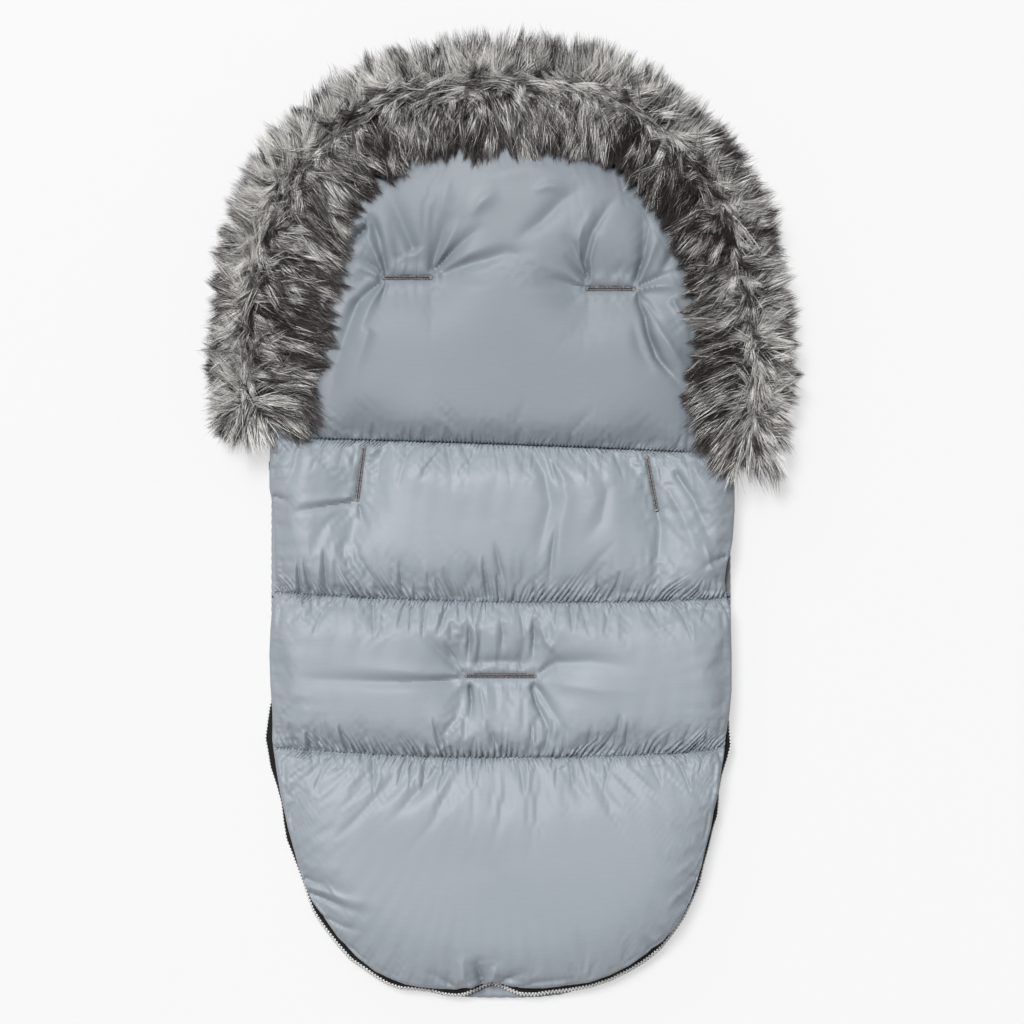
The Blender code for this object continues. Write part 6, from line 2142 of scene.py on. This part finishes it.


# %% [markdown]
# ## Dyed acrylic hair and its painted shade
# Faux fur hair is acrylic fibre, pale grey along most of its length, and in some locks dyed dark brown
# towards the tip. Towards the root it is darkened with painted shade for the depth of the pile. Strands
# differ in tone, and towards the right end they are made darker as painted shade, so a strand's value
# mixes between two greys. The fibre is glossy, but in a mass it looks soft, so the roughness is middling.

# %% Hair finish
pile = blank_material("acrylic_pile_dye_and_painted_shade")
along_hair = add_node(pile, "ShaderNodeAttribute", {"attribute_name": "along_hair"})
tone_and_painted_shade = add_node(pile, "ShaderNodeAttribute", {"attribute_name": "tone_and_painted_shade"})
brown_tip = add_node(pile, "ShaderNodeAttribute", {"attribute_name": "brown_tip"})
# The strand's value, its tone with the painted shade along the trim, picks its grey
greys = add_node(pile, "ShaderNodeValToRGB", links=[("Fac", tone_and_painted_shade, "Fac")])
ramp = greys.color_ramp.elements
ramp[0].position, ramp[0].color = 0.22, linear("#2F2C2A")
ramp[1].position, ramp[1].color = 0.78, linear("#FEFCF8")
middle_grey = ramp.new(0.48)
middle_grey.color = linear("#B4B1AC")
# Painted shade: each strand is darkened towards its root, where the pile above would shade it
painted_root_shade = add_node(pile, "ShaderNodeValToRGB", links=[("Fac", along_hair, "Fac")])
ramp = painted_root_shade.color_ramp.elements
ramp[0].position, ramp[0].color = 0.10, (0.07, 0.07, 0.07, 1)
ramp[1].position, ramp[1].color = 0.55, (1, 1, 1, 1)
rooted = add_node(pile, "ShaderNodeMix", {"data_type": "RGBA", "blend_type": "MULTIPLY", 0: 1.0},
                  [(6, greys, 0), (7, painted_root_shade, 0)])
start = add_node(pile, "ShaderNodeMapRange", {"From Min": 0, "From Max": 1, "To Min": 0.98, "To Max": 0.34},
                 [("Value", brown_tip, "Fac")])
past = add_node(pile, "ShaderNodeMath", {"operation": "SUBTRACT"},
                [(0, along_hair, "Fac"), (1, start, 0)])
steep = add_node(pile, "ShaderNodeMath", {"operation": "MULTIPLY", 1: 5.0, "use_clamp": True},
                 [(0, past, 0)])
tipped = add_node(pile, "ShaderNodeMix", {"data_type": "RGBA", 7: linear("#2B2222")},
                  [(0, steep, 0), (6, rooted, 2)])
shader = add_node(pile, "ShaderNodeBsdfPrincipled", {
    "Roughness": 0.42, "Specular IOR Level": 0.5, "Sheen Weight": 0.15,
}, [("Base Color", tipped, 2)])
add_node(pile, "ShaderNodeOutputMaterial", links=[("Surface", shader, 0)])

# %% Hair pieces
piece_of = np.minimum((share * FUR_PIECES).astype(int), FUR_PIECES - 1)
for number in range(FUR_PIECES):
    mine = piece_of == number
    points, quads, tips, reach = ribbons(hair_root[mine], hair_middle[mine], hair_tip[mine], rng)
    per = points.shape[1]
    made = hair_object(f"fur_pile_{number + 1}", points.reshape(-1, 3), quads, tips, {
        "along_hair": (root_shade_lift[mine][:, None] + (1 - root_shade_lift[mine])[:, None] * reach).ravel(),
        "tone_and_painted_shade": np.repeat(shade[mine], per),
        "brown_tip": np.repeat(brown[mine], per),
    })
    dress(made, pile)
    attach(made, "back")
    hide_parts("fur_trim")
    print(f"{made.name}: {mine.sum()} strands, {2 * len(quads) + len(tips)} triangles")

# %% Finish
low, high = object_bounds()
